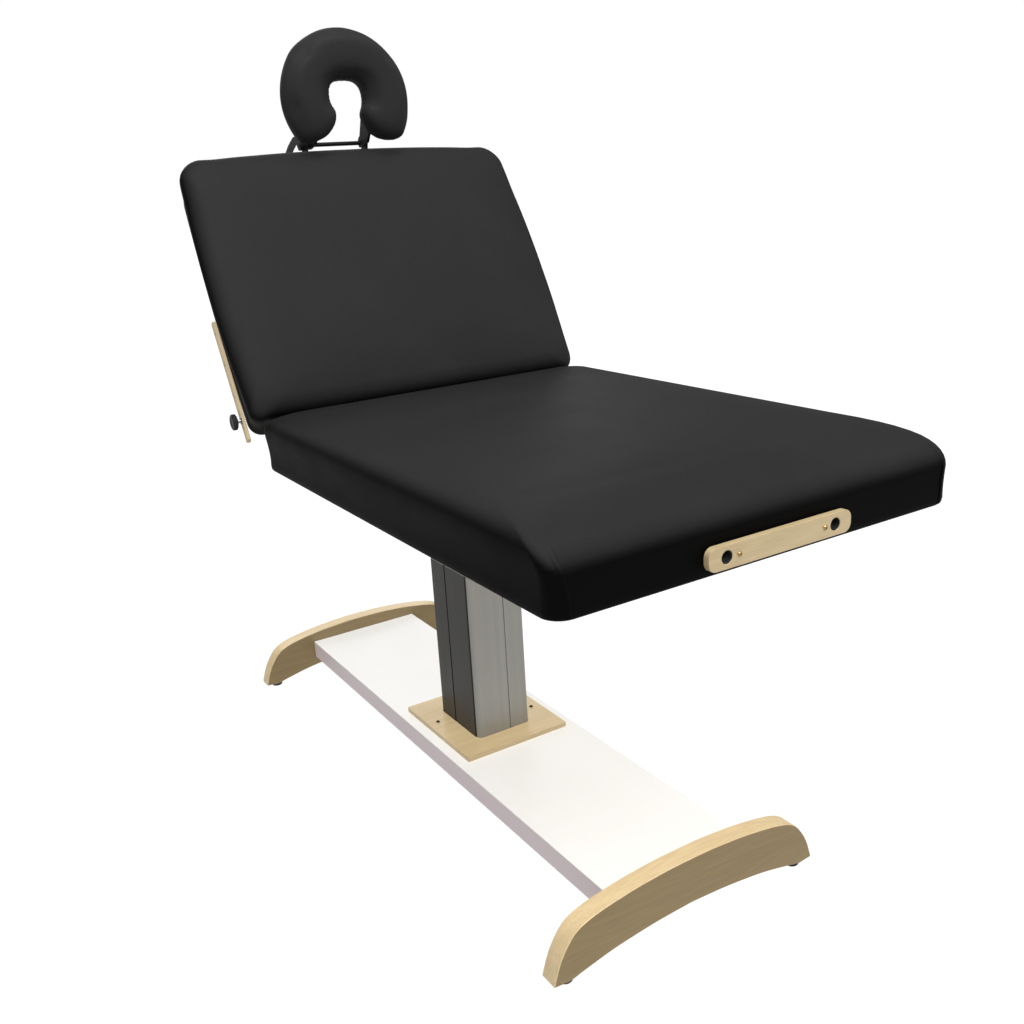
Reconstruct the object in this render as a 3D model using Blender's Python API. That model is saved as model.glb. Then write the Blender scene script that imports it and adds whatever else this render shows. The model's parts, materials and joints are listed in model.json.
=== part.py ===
"""Electric massage table: single lifting column, hinged back section, face cradle. Metres, +Z up."""

import math
from typing import NamedTuple

import bmesh
import bpy
from mathutils import Vector

# Fits and clearances
GAP = 0.0003
RUN = 0.0006
CUT = 0.01

# Frame: foot end at +X, near side at -Y, floor at z = 0
BASE_X = -0.100

# Base
BOARD_LEN = 1.356
BOARD_W = 0.310
BOARD_T = 0.046
BOARD_TOP = 0.103
FOOT_T = 0.038
FOOT_SPAN = 0.608
FOOT_RISE = 0.137
FOOT_ARCH = 0.044
FOOT_TOE = 0.009
GLIDE_R = 0.014
GLIDE_INSET = 0.034
COVER_LEN = 0.291
COVER_W = 0.260
COVER_T = 0.0105
COVER_SCREW_X = 0.036
COVER_SCREW_Y = 0.106
COVER_SCREW_R = 0.0045
BOX_LEN = 0.24
BOX_W = 0.17
BOX_H = 0.036
INLET_W = 0.028
INLET_H = 0.020
INLET_DEEP = 0.018

# Column
COL_X = 0.178
COL_Y = 0.139
COL_WALL = 0.004
COL_R = 0.016
COL_TOP = 0.500
COL_GROOVE_W = 0.004
COL_GROOVE_DEEP = 0.0016
GROOVE_X = 0.015
GROOVE_Y = 0.014
SLEEVE = 0.006
INNER_WALL = 0.004
TRAVEL = 0.24
SPINDLE_R = 0.012
PUSH_R = 0.022
PUSH_WALL = 0.006
TOP_PLATE_X = 0.22
TOP_PLATE_Y = 0.24
TOP_PLATE_T = 0.008

# Table top
TOP_W = 0.787
TOP_UNDER = 0.758
TOP_T = 0.125
SEAT_FOOT_X = 0.900
RAIL_H = 0.050
RAIL_T = 0.025
END_RAIL_T = 0.075
DECK_T = 0.009
SKIRT = 0.008
PAD_EDGE_R = 0.038
SEAT_BULGE = 0.009
BACK_BULGE = 0.014
LOW_BULGE = 0.25
PAD_CROWN = 0.006
PAD_CORNER_R = 0.028
PAD_CORNER_GROW = 1.2
SEAT_SIDE_R = 0.044
SEAT_END_R = 0.150
SEAT_HINGE_R = 0.085
BACK_SIDE_R = 0.028
BACK_END_R = 0.042
BACK_HINGE_R = 0.050
PAD_HINGE_CORNER_R = 0.028
PLATE_TOP = 0.060
BEARER_W = 0.05
BEARER_X = 0.045

# Back section and its hinge
HINGE_X = -0.165
HINGE_DROP = 0.038
HINGE_GAP = 0.009
REST_TILT = math.radians(60)
BACK_REACH = 0.618
BACK_TAPER = 0.002
BACK_BOW = 0.012
BACK_SWELL = 0.005
BACK_CORNER_R = 0.050
LEAF_T = 0.0035
LEAF_LEN = 0.080
LEAF_H = 0.060
KNUCKLE_R = 0.0066
PIN_R = 0.0035
HINGE_INSET = 0.1535

# Outlet plates
PLATE_LEN = 0.284
PLATE_H = 0.036
PLATE_T = 0.011
PLATE_R = 0.014
HOLE_SPACING = 0.2159
HOLE_R = 0.0103
HOLE_UP = 0.029
SOCKET_DEEP = 0.085
SCREW_SPACING = 0.171
SCREW_R = 0.004
SCREW_T = 0.0025

# Side strips and knobs of the back
STRIP_START = -0.003
STRIP_LEN = 0.284
STRIP_H = 0.017
STRIP_T = 0.007
STRIP_UP = 0.001
STRIP_SCREWS = (0.032, 0.107, 0.181, 0.256)
RECESS_R = 0.0035
RECESS_DEEP = 0.0015
KNOB_ALONG = 0.047
KNOB_R = 0.0175
KNOB_T = 0.011
KNOB_STEM_R = 0.004
KNOB_STANDOFF = 0.010

# Back strut
STRUT_FOOT_X = -0.170
STRUT_FOOT_Z = 0.560
STRUT_HEAD_T = 0.260
STRUT_HEAD_N = -0.115
STRUT_R = 0.013
STRUT_BORE_R = 0.0061
STRUT_LEN = 0.275
ROD_R = 0.0055
ROD_TAIL = 0.280
EYE_T = 0.010
EYE_SLOT_LEN = 0.036
EYE_SLOT_W = 0.0126
EYE_RIM = 0.006
CHEEK_T = 0.005
CHEEK_W = 0.022
STRUT_PIN_R = 0.005
BRACKET_LEN = 0.036
BRACKET_HALF = 0.045
BRACKET_WING = 0.016
BRACKET_T = 0.004

# Face cradle
POST_R = 0.0095
POST_IN = 0.080
YOKE_CLEAR = 0.0042
YOKE_BAR = 0.020
EAR_Y = 0.074
EAR_T = 0.007
PIVOT_OUT = 0.031
PIVOT_N = -0.037
TILT_ROD_R = 0.005
CRADLE_LEAN = math.radians(24)
ARM_Y = 0.064
ARM_T = 0.007
ARM_REACH = 0.095
ARM_W = 0.010
ARM_BOSS = 0.011
PLATFORM_N = 0.050
PLATFORM_T = 0.009
CUSHION_R = 0.1045
CUSHION_BAND = 0.107
CUSHION_T = 0.076
CUSHION_MID = 0.085
CUSHION_SWEEP = math.radians(120)
LEVER_T = 0.011

# Derived places
TOP_Z = TOP_UNDER + TOP_T
HINGE_Z = TOP_Z - HINGE_DROP
UNDER_N = -(TOP_T - HINGE_DROP)
RAIL_N = UNDER_N + RAIL_H
DECK_N = RAIL_N + GAP + DECK_T
HALF_W = TOP_W / 2
FRAME_HALF = HALF_W - SKIRT - GAP
HOLE_N = UNDER_N + HOLE_UP
STRIP_N = UNDER_N + STRIP_UP + STRIP_H / 2
COVER_TOP = BOARD_TOP + GAP + COVER_T
UNDER_TOP = TOP_UNDER - GAP
PLATE_BOTTOM = UNDER_TOP - TOP_PLATE_T
BOARD_UNDER = BOARD_TOP - BOARD_T
HINGE_Y = HALF_W - HINGE_INSET
HEAD_PLATE_T = BACK_REACH + LOW_BULGE * BACK_BULGE + BACK_BOW + GAP
YOKE_T = HEAD_PLATE_T + PLATE_T + YOKE_CLEAR
PIVOT_T = YOKE_T + PIVOT_OUT


def clear_scene() -> None:
    """Remove everything of the startup scene."""
    for old in list(bpy.data.objects):
        bpy.data.objects.remove(old)


clear_scene()
TABLE = bpy.data.collections.new("electric_massage_table")
bpy.context.scene.collection.children.link(TABLE)
CUTTERS = bpy.data.collections.new("cutters")
CUTTERS.hide_render = True
bpy.context.scene.collection.children.link(CUTTERS)


def material(name, colour, rough, metal=0.0):
    """A Principled material of one colour."""
    made = bpy.data.materials.new(name)
    made.use_nodes = True
    shader = made.node_tree.nodes["Principled BSDF"]
    shader.inputs["Base Color"].default_value = (*colour, 1.0)
    shader.inputs["Roughness"].default_value = rough
    shader.inputs["Metallic"].default_value = metal
    return made


MAPLE = material("maple", (0.62, 0.47, 0.27), 0.5)
LAMINATE = material("white_laminate", (0.9, 0.9, 0.87), 0.4)
ALUMINIUM = material("aluminium", (0.42, 0.42, 0.40), 0.38, 1.0)
VINYL = material("black_vinyl", (0.022, 0.022, 0.023), 0.55)
BLACK_STEEL = material("black_steel", (0.015, 0.015, 0.016), 0.4, 0.6)
STEEL = material("steel", (0.5, 0.5, 0.5), 0.35, 1.0)
BRASS = material("brass", (0.45, 0.30, 0.10), 0.35, 1.0)
PLASTIC = material("black_plastic", (0.02, 0.02, 0.02), 0.5)
PINE = material("frame_timber", (0.55, 0.40, 0.22), 0.6)


def empty(name, place, parent=None, turn=0.0):
    """A joint frame: pieces parented to it are drawn in its own axes."""
    made = bpy.data.objects.new(name, None)
    made.location = place
    made.rotation_euler = (0.0, turn, 0.0)
    made.parent = parent
    TABLE.objects.link(made)
    return made


def put(name, bm, finish, parent=None, smooth=False, home=None, orient=False):
    """Store a bmesh as one named object; orient turns the faces of a drawn shape outwards."""
    if orient:
        bmesh.ops.recalc_face_normals(bm, faces=bm.faces)
        if bm.calc_volume(signed=True) < 0:
            bmesh.ops.reverse_faces(bm, faces=bm.faces)
    mesh = bpy.data.meshes.new(name)
    bm.to_mesh(mesh)
    bm.free()
    for face in mesh.polygons:
        face.use_smooth = smooth
    made = bpy.data.objects.new(name, mesh)
    if finish is not None:
        mesh.materials.append(finish)
    made.parent = parent
    (home or TABLE).objects.link(made)
    return made


def add_box(bm, low, high):
    """Add a box between two corners."""
    centre = [(a + b) / 2 for a, b in zip(low, high)]
    made = bmesh.ops.create_cube(bm, size=1.0)
    for v in made["verts"]:
        v.co = Vector(c + p * (b - a) for c, p, a, b in zip(centre, v.co, low, high))
    return made["verts"]


def add_rod(bm, start, end, radius, sides=20):
    """Add a capped cylinder between two points."""
    start = Vector(start)
    along = Vector(end) - start
    turn = Vector((0, 0, 1)).rotation_difference(along.normalized())
    made = bmesh.ops.create_cone(
        bm, cap_ends=True, segments=sides, radius1=radius, radius2=radius, depth=along.length
    )
    for v in made["verts"]:
        v.co = turn @ v.co + start + along / 2
    return made["verts"]


def box(name, low, high, finish, parent=None):
    """A plain box object."""
    bm = bmesh.new()
    add_box(bm, low, high)
    return put(name, bm, finish, parent)


def rod(name, start, end, radius, finish, parent=None, sides=20):
    """A plain cylinder object."""
    bm = bmesh.new()
    add_rod(bm, start, end, radius, sides)
    return put(name, bm, finish, parent, smooth=True)


def prism(name, loops, low, high, finish, parent=None, axis="Z", home=None):
    """Extrude outlines, the first outer and the rest holes, from low to high along an axis."""
    curve = bpy.data.curves.new(name + "_outline", "CURVE")
    curve.dimensions = "2D"
    curve.fill_mode = "BOTH"
    curve.extrude = (high - low) / 2
    for loop in loops:
        spline = curve.splines.new("POLY")
        spline.points.add(len(loop) - 1)
        for point, (u, v) in zip(spline.points, loop):
            point.co = (u, v, 0.0, 1.0)
        spline.use_cyclic_u = True
    guide = bpy.data.objects.new(name + "_outline", curve)
    mesh = bpy.data.meshes.new_from_object(guide)
    bm = bmesh.new()
    bm.from_mesh(mesh)
    bmesh.ops.remove_doubles(bm, verts=bm.verts, dist=1e-6)
    middle = (low + high) / 2
    for v in bm.verts:
        u, w, h = v.co.x, v.co.y, v.co.z + middle
        v.co = {"Z": (u, w, h), "X": (h, u, w), "Y": (u, h, w)}[axis]
    bpy.data.objects.remove(guide)
    bpy.data.meshes.remove(mesh)
    bpy.data.curves.remove(curve)
    return put(name, bm, finish, parent, home=home, orient=True)


def boolean(target, other, operation="DIFFERENCE"):
    """Cut or join with another object."""
    mod = target.modifiers.new(operation.lower() + "_" + other.name, "BOOLEAN")
    mod.operation = operation
    mod.solver = "EXACT"
    mod.object = other


def cutter(name, bm, parent=None):
    """A helper object for Booleans."""
    made = put(name, bm, None, parent, home=CUTTERS)
    made.display_type = "WIRE"
    made.hide_render = True
    return made


def rounded(u0, u1, v0, v1, r_low, r_high, steps=4, extra=0):
    """Rounded rectangle; r_low rounds the u0 end and r_high the u1 end."""
    points = []
    corners = (
        (u1 - r_high, v0 + r_high, r_high, -90),
        (u1 - r_high, v1 - r_high, r_high, 0),
        (u0 + r_low, v1 - r_low, r_low, 90),
        (u0 + r_low, v0 + r_low, r_low, 180),
    )
    for i, (cu, cv, r, first) in enumerate(corners):
        for k in range(steps + 1):
            a = math.radians(first + 90 * k / steps)
            points.append((cu + r * math.cos(a), cv + r * math.sin(a)))
        if extra:
            nu, nv, nr, nfirst = corners[(i + 1) % 4]
            b = math.radians(nfirst)
            last = points[-1]
            nxt = (nu + nr * math.cos(b), nv + nr * math.sin(b))
            for k in range(1, extra + 1):
                f = k / (extra + 1)
                points.append((last[0] + f * (nxt[0] - last[0]), last[1] + f * (nxt[1] - last[1])))
    return points


def circle(u, v, r, sides=20):
    """Points of a circle."""
    turn = 2 * math.pi / sides
    return [(u + r * math.cos(turn * k), v + r * math.sin(turn * k)) for k in range(sides)]


def loft(name, rings, finish, parent=None):
    """Join rings of equal length and cap both ends."""
    bm = bmesh.new()
    rows = [[bm.verts.new(p) for p in ring] for ring in rings]
    count = len(rows[0])
    for a, b in zip(rows, rows[1:]):
        for k in range(count):
            n = (k + 1) % count
            bm.faces.new((a[k], a[n], b[n], b[k]))
    bm.faces.new(rows[0])
    bm.faces.new(rows[-1])
    return put(name, bm, finish, parent, smooth=True, orient=True)


class Soft(NamedTuple):
    """How far a pad's covers stand out and roll over."""

    bulge: float
    side_r: float
    hinge_r: float
    end_bulge: float
    end_r: float
    roll_from: float
    corner_r: float
    taper: float = 0.0
    bow: float = 0.0
    swell: float = 0.0


def pad(name, hinge_x, end_x, top, soft, finish, parent=None):
    """Foam pad that wraps a frame: a crowned top, full sides and an open pocket below."""
    way = 1.0 if end_x > hinge_x else -1.0
    span = abs(end_x - hinge_x)
    under = top - TOP_T
    ceiling = under + RAIL_H + DECK_T + 2 * GAP
    bulge = soft.bulge
    low = LOW_BULGE * bulge
    full = top - PAD_EDGE_R
    # Each row: inset at the hinge end, at the other end, at the sides, then the height
    rows = [
        (SKIRT, SKIRT, SKIRT, ceiling),
        (SKIRT, SKIRT, SKIRT, under),
        (0.003, 0.003, 0.003, under),
        (0.0, 0.0, 0.0, under + 0.004),
        (0.0, -0.5 * low, -0.5 * low, under + PLATE_TOP / 2),
        (0.0, -low, -low, under + PLATE_TOP),
        (0.0, -0.75 * soft.end_bulge, -0.75 * bulge, under + 0.5 * (PLATE_TOP + full - under)),
        (0.0, -0.95 * soft.end_bulge, -0.95 * bulge, full - 0.008),
    ]
    for step in range(6):
        a = math.radians(18 * step)
        curl = 1 - math.cos(a)
        out = bulge * math.cos(a)
        z = full + PAD_EDGE_R * math.sin(a)
        rows.append((soft.hinge_r * curl, 0.0, soft.side_r * curl - out, z))
    for d, rise in ((0.105, 0.55), (0.150, 0.85), (0.210, 1.0)):
        rows.append((d, max(d, soft.end_r + d / 2), d, top + PAD_CROWN * rise))
    rings = []
    roll_z = under + soft.roll_from
    for d_hinge, d_end, d_side, z in rows:
        if roll_z < z <= top:
            lean = math.sqrt(max(1.0 - ((z - roll_z) / (top - roll_z)) ** 2, 0.0))
            d_end = soft.end_r * (1.0 - lean) - soft.end_bulge * lean
        high = span - d_end
        half = HALF_W - d_side
        r_low = PAD_HINGE_CORNER_R + 0.5 * min(max(d_hinge, 0.0), PAD_EDGE_R)
        if d_hinge == SKIRT:
            r_low = PAD_HINGE_CORNER_R - SKIRT
        r_high = soft.corner_r - SKIRT
        pocket = d_end == SKIRT
        if not pocket:
            r_high = soft.corner_r + PAD_CORNER_GROW * min(max(d_side, 0.0), 0.05)
        ring = []
        for u, v in rounded(d_hinge, high, -half, half, r_low, r_high, steps=5, extra=3):
            along = max(u / span, 0.0)
            wide = v * (1.0 - soft.taper / HALF_W * along**2)
            if not pocket:
                wide *= 1.0 + soft.swell / HALF_W * 4 * along * max(1.0 - along, 0.0)
                u += soft.bow * along**3 * max(1.0 - (v / HALF_W) ** 2, 0.0)
            ring.append((hinge_x + way * u, wide, z))
        rings.append(ring)
    return loft(name, rings, finish, parent)


# Base: board, arched feet, glides, column cover
prism(
    "base_board",
    [rounded(BASE_X - BOARD_LEN / 2, BASE_X + BOARD_LEN / 2, -BOARD_W / 2, BOARD_W / 2, 0.002, 0.002, 2)],
    BOARD_UNDER, BOARD_TOP, LAMINATE,
)
FOOT_TOP_SHAPE = (
    (0.0, 1.0), (0.16, 0.996), (0.33, 0.972), (0.46, 0.944), (0.61, 0.896), (0.72, 0.846), (0.79, 0.795),
    (0.83, 0.75), (0.87, 0.676), (0.905, 0.575), (0.935, 0.47), (0.962, 0.345), (0.984, 0.2), (1.0, 0.085),
)
FOOT_UNDER_SHAPE = ((0.9, 0.0), (0.86, 0.06), (0.79, 0.21), (0.615, 0.53), (0.46, 0.72), (0.25, 0.9), (0.0, 1.0))


def foot_outline():
    """Half profile of the arch, mirrored about the middle."""
    half = FOOT_SPAN / 2
    top = [(half * y, FOOT_RISE * z) for y, z in FOOT_TOP_SHAPE]
    lift = FOOT_ARCH - FOOT_TOE
    under = [(half * y, FOOT_TOE + lift * z) for y, z in FOOT_UNDER_SHAPE]
    right = top + under
    left = [(-y, z) for y, z in reversed(right[1:-1])]
    return right + left


FOOT_INNER = BOARD_LEN / 2 + GAP
for end, way in (("head", -1), ("foot", 1)):
    edges = sorted((BASE_X + way * FOOT_INNER, BASE_X + way * (FOOT_INNER + FOOT_T)))
    prism("arched_foot_" + end, [foot_outline()], edges[0], edges[1], MAPLE, axis="X")
    for side, across in (("near", -1), ("far", 1)):
        gx = BASE_X + way * (FOOT_INNER + FOOT_T / 2)
        gy = across * (FOOT_SPAN / 2 - GLIDE_INSET)
        rod(f"glide_{end}_{side}", (gx, gy, 0), (gx, gy, FOOT_TOE - GAP), GLIDE_R, PLASTIC)

column_hole = rounded(
    BASE_X - COL_X / 2 - RUN, BASE_X + COL_X / 2 + RUN, -COL_Y / 2 - RUN, COL_Y / 2 + RUN, COL_R, COL_R
)
prism(
    "column_cover_plate",
    [
        rounded(BASE_X - COVER_LEN / 2, BASE_X + COVER_LEN / 2, -COVER_W / 2, COVER_W / 2, 0.003, 0.003, 2),
        column_hole,
    ],
    BOARD_TOP + GAP, COVER_TOP, MAPLE,
)
for side, way in (("near", -1), ("far", 1)):
    sx = BASE_X + way * COVER_SCREW_X
    sy = way * COVER_SCREW_Y
    rod(
        "cover_screw_" + side, (sx, sy, COVER_TOP + GAP), (sx, sy, COVER_TOP + GAP + 0.0018),
        COVER_SCREW_R, BLACK_STEEL, sides=12,
    )

# Control box under the board, with the mains inlet
box_x = BASE_X - COL_X
control = box(
    "control_box",
    (box_x - BOX_LEN, -BOX_W / 2, BOARD_UNDER - GAP - BOX_H),
    (box_x, BOX_W / 2, BOARD_UNDER - GAP),
    PLASTIC,
)
bm = bmesh.new()
inlet_z = BOARD_UNDER - GAP - BOX_H / 2
add_box(
    bm,
    (box_x - BOX_LEN - CUT, -INLET_W / 2, inlet_z - INLET_H / 2),
    (box_x - BOX_LEN + INLET_DEEP, INLET_W / 2, inlet_z + INLET_H / 2),
)
boolean(control, cutter("inlet_cut", bm))

# Column: fixed outer tube with shallow grooves, guide ring, spindle


def column_outline():
    """Outer section with one groove in each face."""
    x1 = COL_X / 2
    y1 = COL_Y / 2
    g = COL_GROOVE_W / 2
    deep = COL_GROOVE_DEEP
    arcs = rounded(-x1, x1, -y1, y1, COL_R, COL_R, 4)
    quarter = len(arcs) // 4
    right = [(x1, GROOVE_Y - g), (x1 - deep, GROOVE_Y - g), (x1 - deep, GROOVE_Y + g), (x1, GROOVE_Y + g)]
    back = [(GROOVE_X + g, y1), (GROOVE_X + g, y1 - deep), (GROOVE_X - g, y1 - deep), (GROOVE_X - g, y1)]
    left = [(-u, -v) for u, v in right]
    front = [(-u, -v) for u, v in back]
    points = []
    for k, groove in enumerate((right, back, left, front)):
        points += arcs[k * quarter:(k + 1) * quarter] + groove
    return [(BASE_X + u, v) for u, v in points]


def section(inset, radius):
    """Rounded section of the column at an inset from its outside."""
    x1 = COL_X / 2 - inset
    y1 = COL_Y / 2 - inset
    return rounded(BASE_X - x1, BASE_X + x1, -y1, y1, radius, radius, 4)


prism(
    "column_outer",
    [column_outline(), section(COL_WALL, COL_R - COL_WALL)],
    BOARD_TOP + GAP, COL_TOP, ALUMINIUM,
)
ring_z = COL_TOP + GAP
prism(
    "column_guide_ring",
    [section(0.001, COL_R - 0.001), section(SLEEVE + COL_WALL - RUN, COL_R - SLEEVE)],
    ring_z, ring_z + 0.006, PLASTIC,
)
spindle_top = PLATE_BOTTOM - TRAVEL - 0.04
rod("lift_spindle", (BASE_X, 0, BOARD_TOP + GAP), (BASE_X, 0, spindle_top), SPINDLE_R, STEEL)

# Moving column: inner tube, push tube and top plate
inner_in = SLEEVE + COL_WALL
inner_low = BOARD_TOP + TRAVEL + 0.012
prism(
    "column_inner",
    [section(inner_in, COL_R - SLEEVE), section(inner_in + INNER_WALL, COL_R - SLEEVE - INNER_WALL)],
    inner_low, PLATE_BOTTOM - GAP, ALUMINIUM,
)
prism(
    "lift_push_tube",
    [circle(BASE_X, 0, PUSH_R, 24), circle(BASE_X, 0, PUSH_R - PUSH_WALL, 24)],
    inner_low, PLATE_BOTTOM - GAP, STEEL,
)
prism(
    "column_top_plate",
    [rounded(BASE_X - TOP_PLATE_X / 2, BASE_X + TOP_PLATE_X / 2, -TOP_PLATE_Y / 2, TOP_PLATE_Y / 2, 0.01, 0.01, 3)],
    PLATE_BOTTOM, UNDER_TOP, BLACK_STEEL,
)

# Seat frame, deck and pad; joint_lift is on the column's axis
joint_lift = empty("joint_lift", (BASE_X, 0, COL_TOP))
hinge_x = BASE_X + HINGE_X
seat_x0 = hinge_x + HINGE_GAP
seat_x1 = BASE_X + SEAT_FOOT_X
SEAT = Vector((BASE_X, 0, COL_TOP))


def frame_rails(prefix, x_hinge, x_end, under, parent, corner_r, taper=0.0):
    """End rails with rounded corners, side rails between them, and the deck on top."""
    way = 1.0 if x_end > x_hinge else -1.0
    inset = SKIRT + GAP
    a = x_hinge + way * inset
    b = x_end - way * inset
    a2 = a + way * END_RAIL_T
    b2 = b - way * END_RAIL_T
    r_a = PAD_HINGE_CORNER_R - SKIRT
    r_b = corner_r - SKIRT
    half_b = FRAME_HALF - taper
    top = under + RAIL_H

    def along(u0, u1, half, r0, r1):
        shape = rounded(0.0, abs(u1 - u0), -half, half, r0, r1, 5)
        return [(u0 + way * u, v) for u, v in shape]

    made = {}
    made["hinge"] = prism(
        prefix + "_rail_hinge", [along(a, a2, FRAME_HALF - 0.05 * taper, r_a, 0.001)], under, top, PINE, parent
    )
    end_name = prefix + ("_rail_foot" if way > 0 else "_rail_head")
    made["end"] = prism(end_name, [along(b2, b, half_b, 0.001, r_b)], under, top, PINE, parent)
    low, high = sorted((a2 + way * GAP, b2 - way * GAP))
    for side, sign in (("near", -1), ("far", 1)):
        edges = sorted((sign * half_b, sign * (half_b - RAIL_T)))
        made[side] = box(
            f"{prefix}_rail_{side}", (low, edges[0], under), (high, edges[1], top), PINE, parent
        )
    deck = along(a, b, half_b, r_a, r_b)
    made["deck"] = prism(prefix + "_deck", [deck], top + GAP, top + GAP + DECK_T, PINE, parent)
    return made


seat = frame_rails("seat", seat_x0 - SEAT.x, seat_x1 - SEAT.x, TOP_UNDER - SEAT.z, joint_lift, PAD_CORNER_R)
seat_pad = pad(
    "seat_pad", seat_x0 - SEAT.x, seat_x1 - SEAT.x, TOP_Z - SEAT.z,
    Soft(SEAT_BULGE, SEAT_SIDE_R, SEAT_HINGE_R, LOW_BULGE * SEAT_BULGE, SEAT_END_R, PLATE_TOP, PAD_CORNER_R),
    VINYL, joint_lift,
)
for side, way in (("head", -1), ("foot", 1)):
    edges = sorted((way * (BEARER_X - BEARER_W / 2), way * (BEARER_X + BEARER_W / 2)))
    reach = FRAME_HALF - RAIL_T - GAP
    box(
        "column_bearer_" + side,
        (edges[0], -reach, TOP_UNDER - SEAT.z),
        (edges[1], reach, TOP_UNDER - SEAT.z + RAIL_H),
        PINE, joint_lift,
    )


def socket_cut(name, mouth, way, across, centre, up, parent):
    """Two blind holes that run in from a plate; across is the axis of their spacing."""
    bm = bmesh.new()
    for sign in (-1, 1):
        shift = centre + sign * HOLE_SPACING / 2
        if across == "Y":
            start = (mouth + way * CUT, shift, up)
            stop = (mouth - way * SOCKET_DEEP, shift, up)
        else:
            start = (shift, mouth + way * CUT, up)
            stop = (shift, mouth - way * SOCKET_DEEP, up)
        add_rod(bm, start, stop, HOLE_R, 16)
    return cutter(name, bm, parent)


def plate_outline(centre, up):
    """Long plate with rounded corners."""
    return rounded(
        centre - PLATE_LEN / 2, centre + PLATE_LEN / 2, up - PLATE_H / 2, up + PLATE_H / 2, PLATE_R, PLATE_R, 5
    )


def holes(centre, up):
    """The two holes of a plate."""
    return [circle(centre + sign * HOLE_SPACING / 2, up, HOLE_R, 16) for sign in (-1, 1)]


# Foot end outlet plate
foot_face = seat_x1 - SEAT.x + GAP + LOW_BULGE * SEAT_BULGE
plate_up = TOP_UNDER - SEAT.z + HOLE_UP
prism(
    "outlet_plate_foot", [plate_outline(0.0, plate_up)] + holes(0.0, plate_up),
    foot_face, foot_face + PLATE_T, MAPLE, joint_lift, axis="X",
)
foot_sockets = socket_cut("foot_sockets", foot_face, 1, "Y", 0.0, plate_up, joint_lift)
boolean(seat["end"], foot_sockets)
boolean(seat_pad, foot_sockets)
for side, way in (("near", -1), ("far", 1)):
    sy = way * SCREW_SPACING / 2
    face = foot_face + PLATE_T + GAP
    rod(
        "outlet_screw_" + side, (face, sy, plate_up), (face + SCREW_T, sy, plate_up),
        SCREW_R, BRASS, joint_lift, 12,
    )

# Back section, drawn flat about its hinge and then tilted; x runs to the head as -t, z is the normal n
joint_back = empty("joint_back_tilt", (hinge_x, 0, HINGE_Z), None, REST_TILT)
back_pad = pad(
    "back_pad", -HINGE_GAP, -BACK_REACH, HINGE_DROP,
    Soft(
        BACK_BULGE, BACK_SIDE_R, BACK_HINGE_R, 0.7 * BACK_BULGE, BACK_END_R, TOP_T - PAD_EDGE_R,
        BACK_CORNER_R, BACK_TAPER, BACK_BOW, BACK_SWELL,
    ),
    VINYL, joint_back,
)
back = frame_rails("back", -HINGE_GAP, -BACK_REACH, UNDER_N, joint_back, BACK_CORNER_R, BACK_TAPER)
head_face = -HEAD_PLATE_T
prism(
    "outlet_plate_head", [plate_outline(0.0, HOLE_N)] + holes(0.0, HOLE_N),
    head_face - PLATE_T, head_face, MAPLE, joint_back, axis="X",
)
head_sockets = socket_cut("head_sockets", head_face - PLATE_T, -1, "Y", 0.0, HOLE_N, joint_back)
boolean(back["end"], head_sockets)
boolean(back_pad, head_sockets)

# Side strips with recessed screws, each with a clamp knob
strip_x0 = -(STRIP_START + STRIP_LEN)
for side, way in (("near", -1), ("far", 1)):
    face = HALF_W + 0.25 * LOW_BULGE * BACK_BULGE + 0.9 * BACK_SWELL + GAP
    edges = sorted((way * face, way * (face + STRIP_T)))
    strip_z = (STRIP_N - STRIP_H / 2, STRIP_N + STRIP_H / 2)
    strip = prism(
        "side_strip_" + side,
        [rounded(strip_x0, strip_x0 + STRIP_LEN, strip_z[0], strip_z[1], 0.006, 0.006, 4)],
        edges[0], edges[1], MAPLE, joint_back, axis="Y",
    )
    bm = bmesh.new()
    for along in STRIP_SCREWS:
        outer = way * (face + STRIP_T)
        add_rod(
            bm, (-along, outer + way * CUT, STRIP_N), (-along, outer - way * RECESS_DEEP, STRIP_N), RECESS_R, 12
        )
    boolean(strip, cutter("strip_recess_" + side, bm, joint_back))
    joint_knob = empty("joint_knob_" + side, (-KNOB_ALONG, way * (face + STRIP_T), STRIP_N), joint_back)
    bm = bmesh.new()
    out = way * GAP
    profile = (
        (0.0, KNOB_STEM_R), (KNOB_STANDOFF, KNOB_STEM_R), (KNOB_STANDOFF, KNOB_R - 0.0015),
        (KNOB_STANDOFF + 0.0015, KNOB_R), (KNOB_STANDOFF + KNOB_T - 0.0015, KNOB_R),
        (KNOB_STANDOFF + KNOB_T, KNOB_R - 0.0015),
    )
    rows = []
    for reach, radius in profile:
        rows.append([bm.verts.new((u, out + way * reach, v)) for u, v in circle(0, 0, radius, 18)])
    for a, b in zip(rows, rows[1:]):
        for k in range(18):
            bm.faces.new((a[k], a[(k + 1) % 18], b[(k + 1) % 18], b[k]))
    bm.faces.new(rows[0])
    bm.faces.new(rows[-1])
    put("side_knob_" + side, bm, PLASTIC, joint_knob, smooth=True, orient=True)

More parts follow.
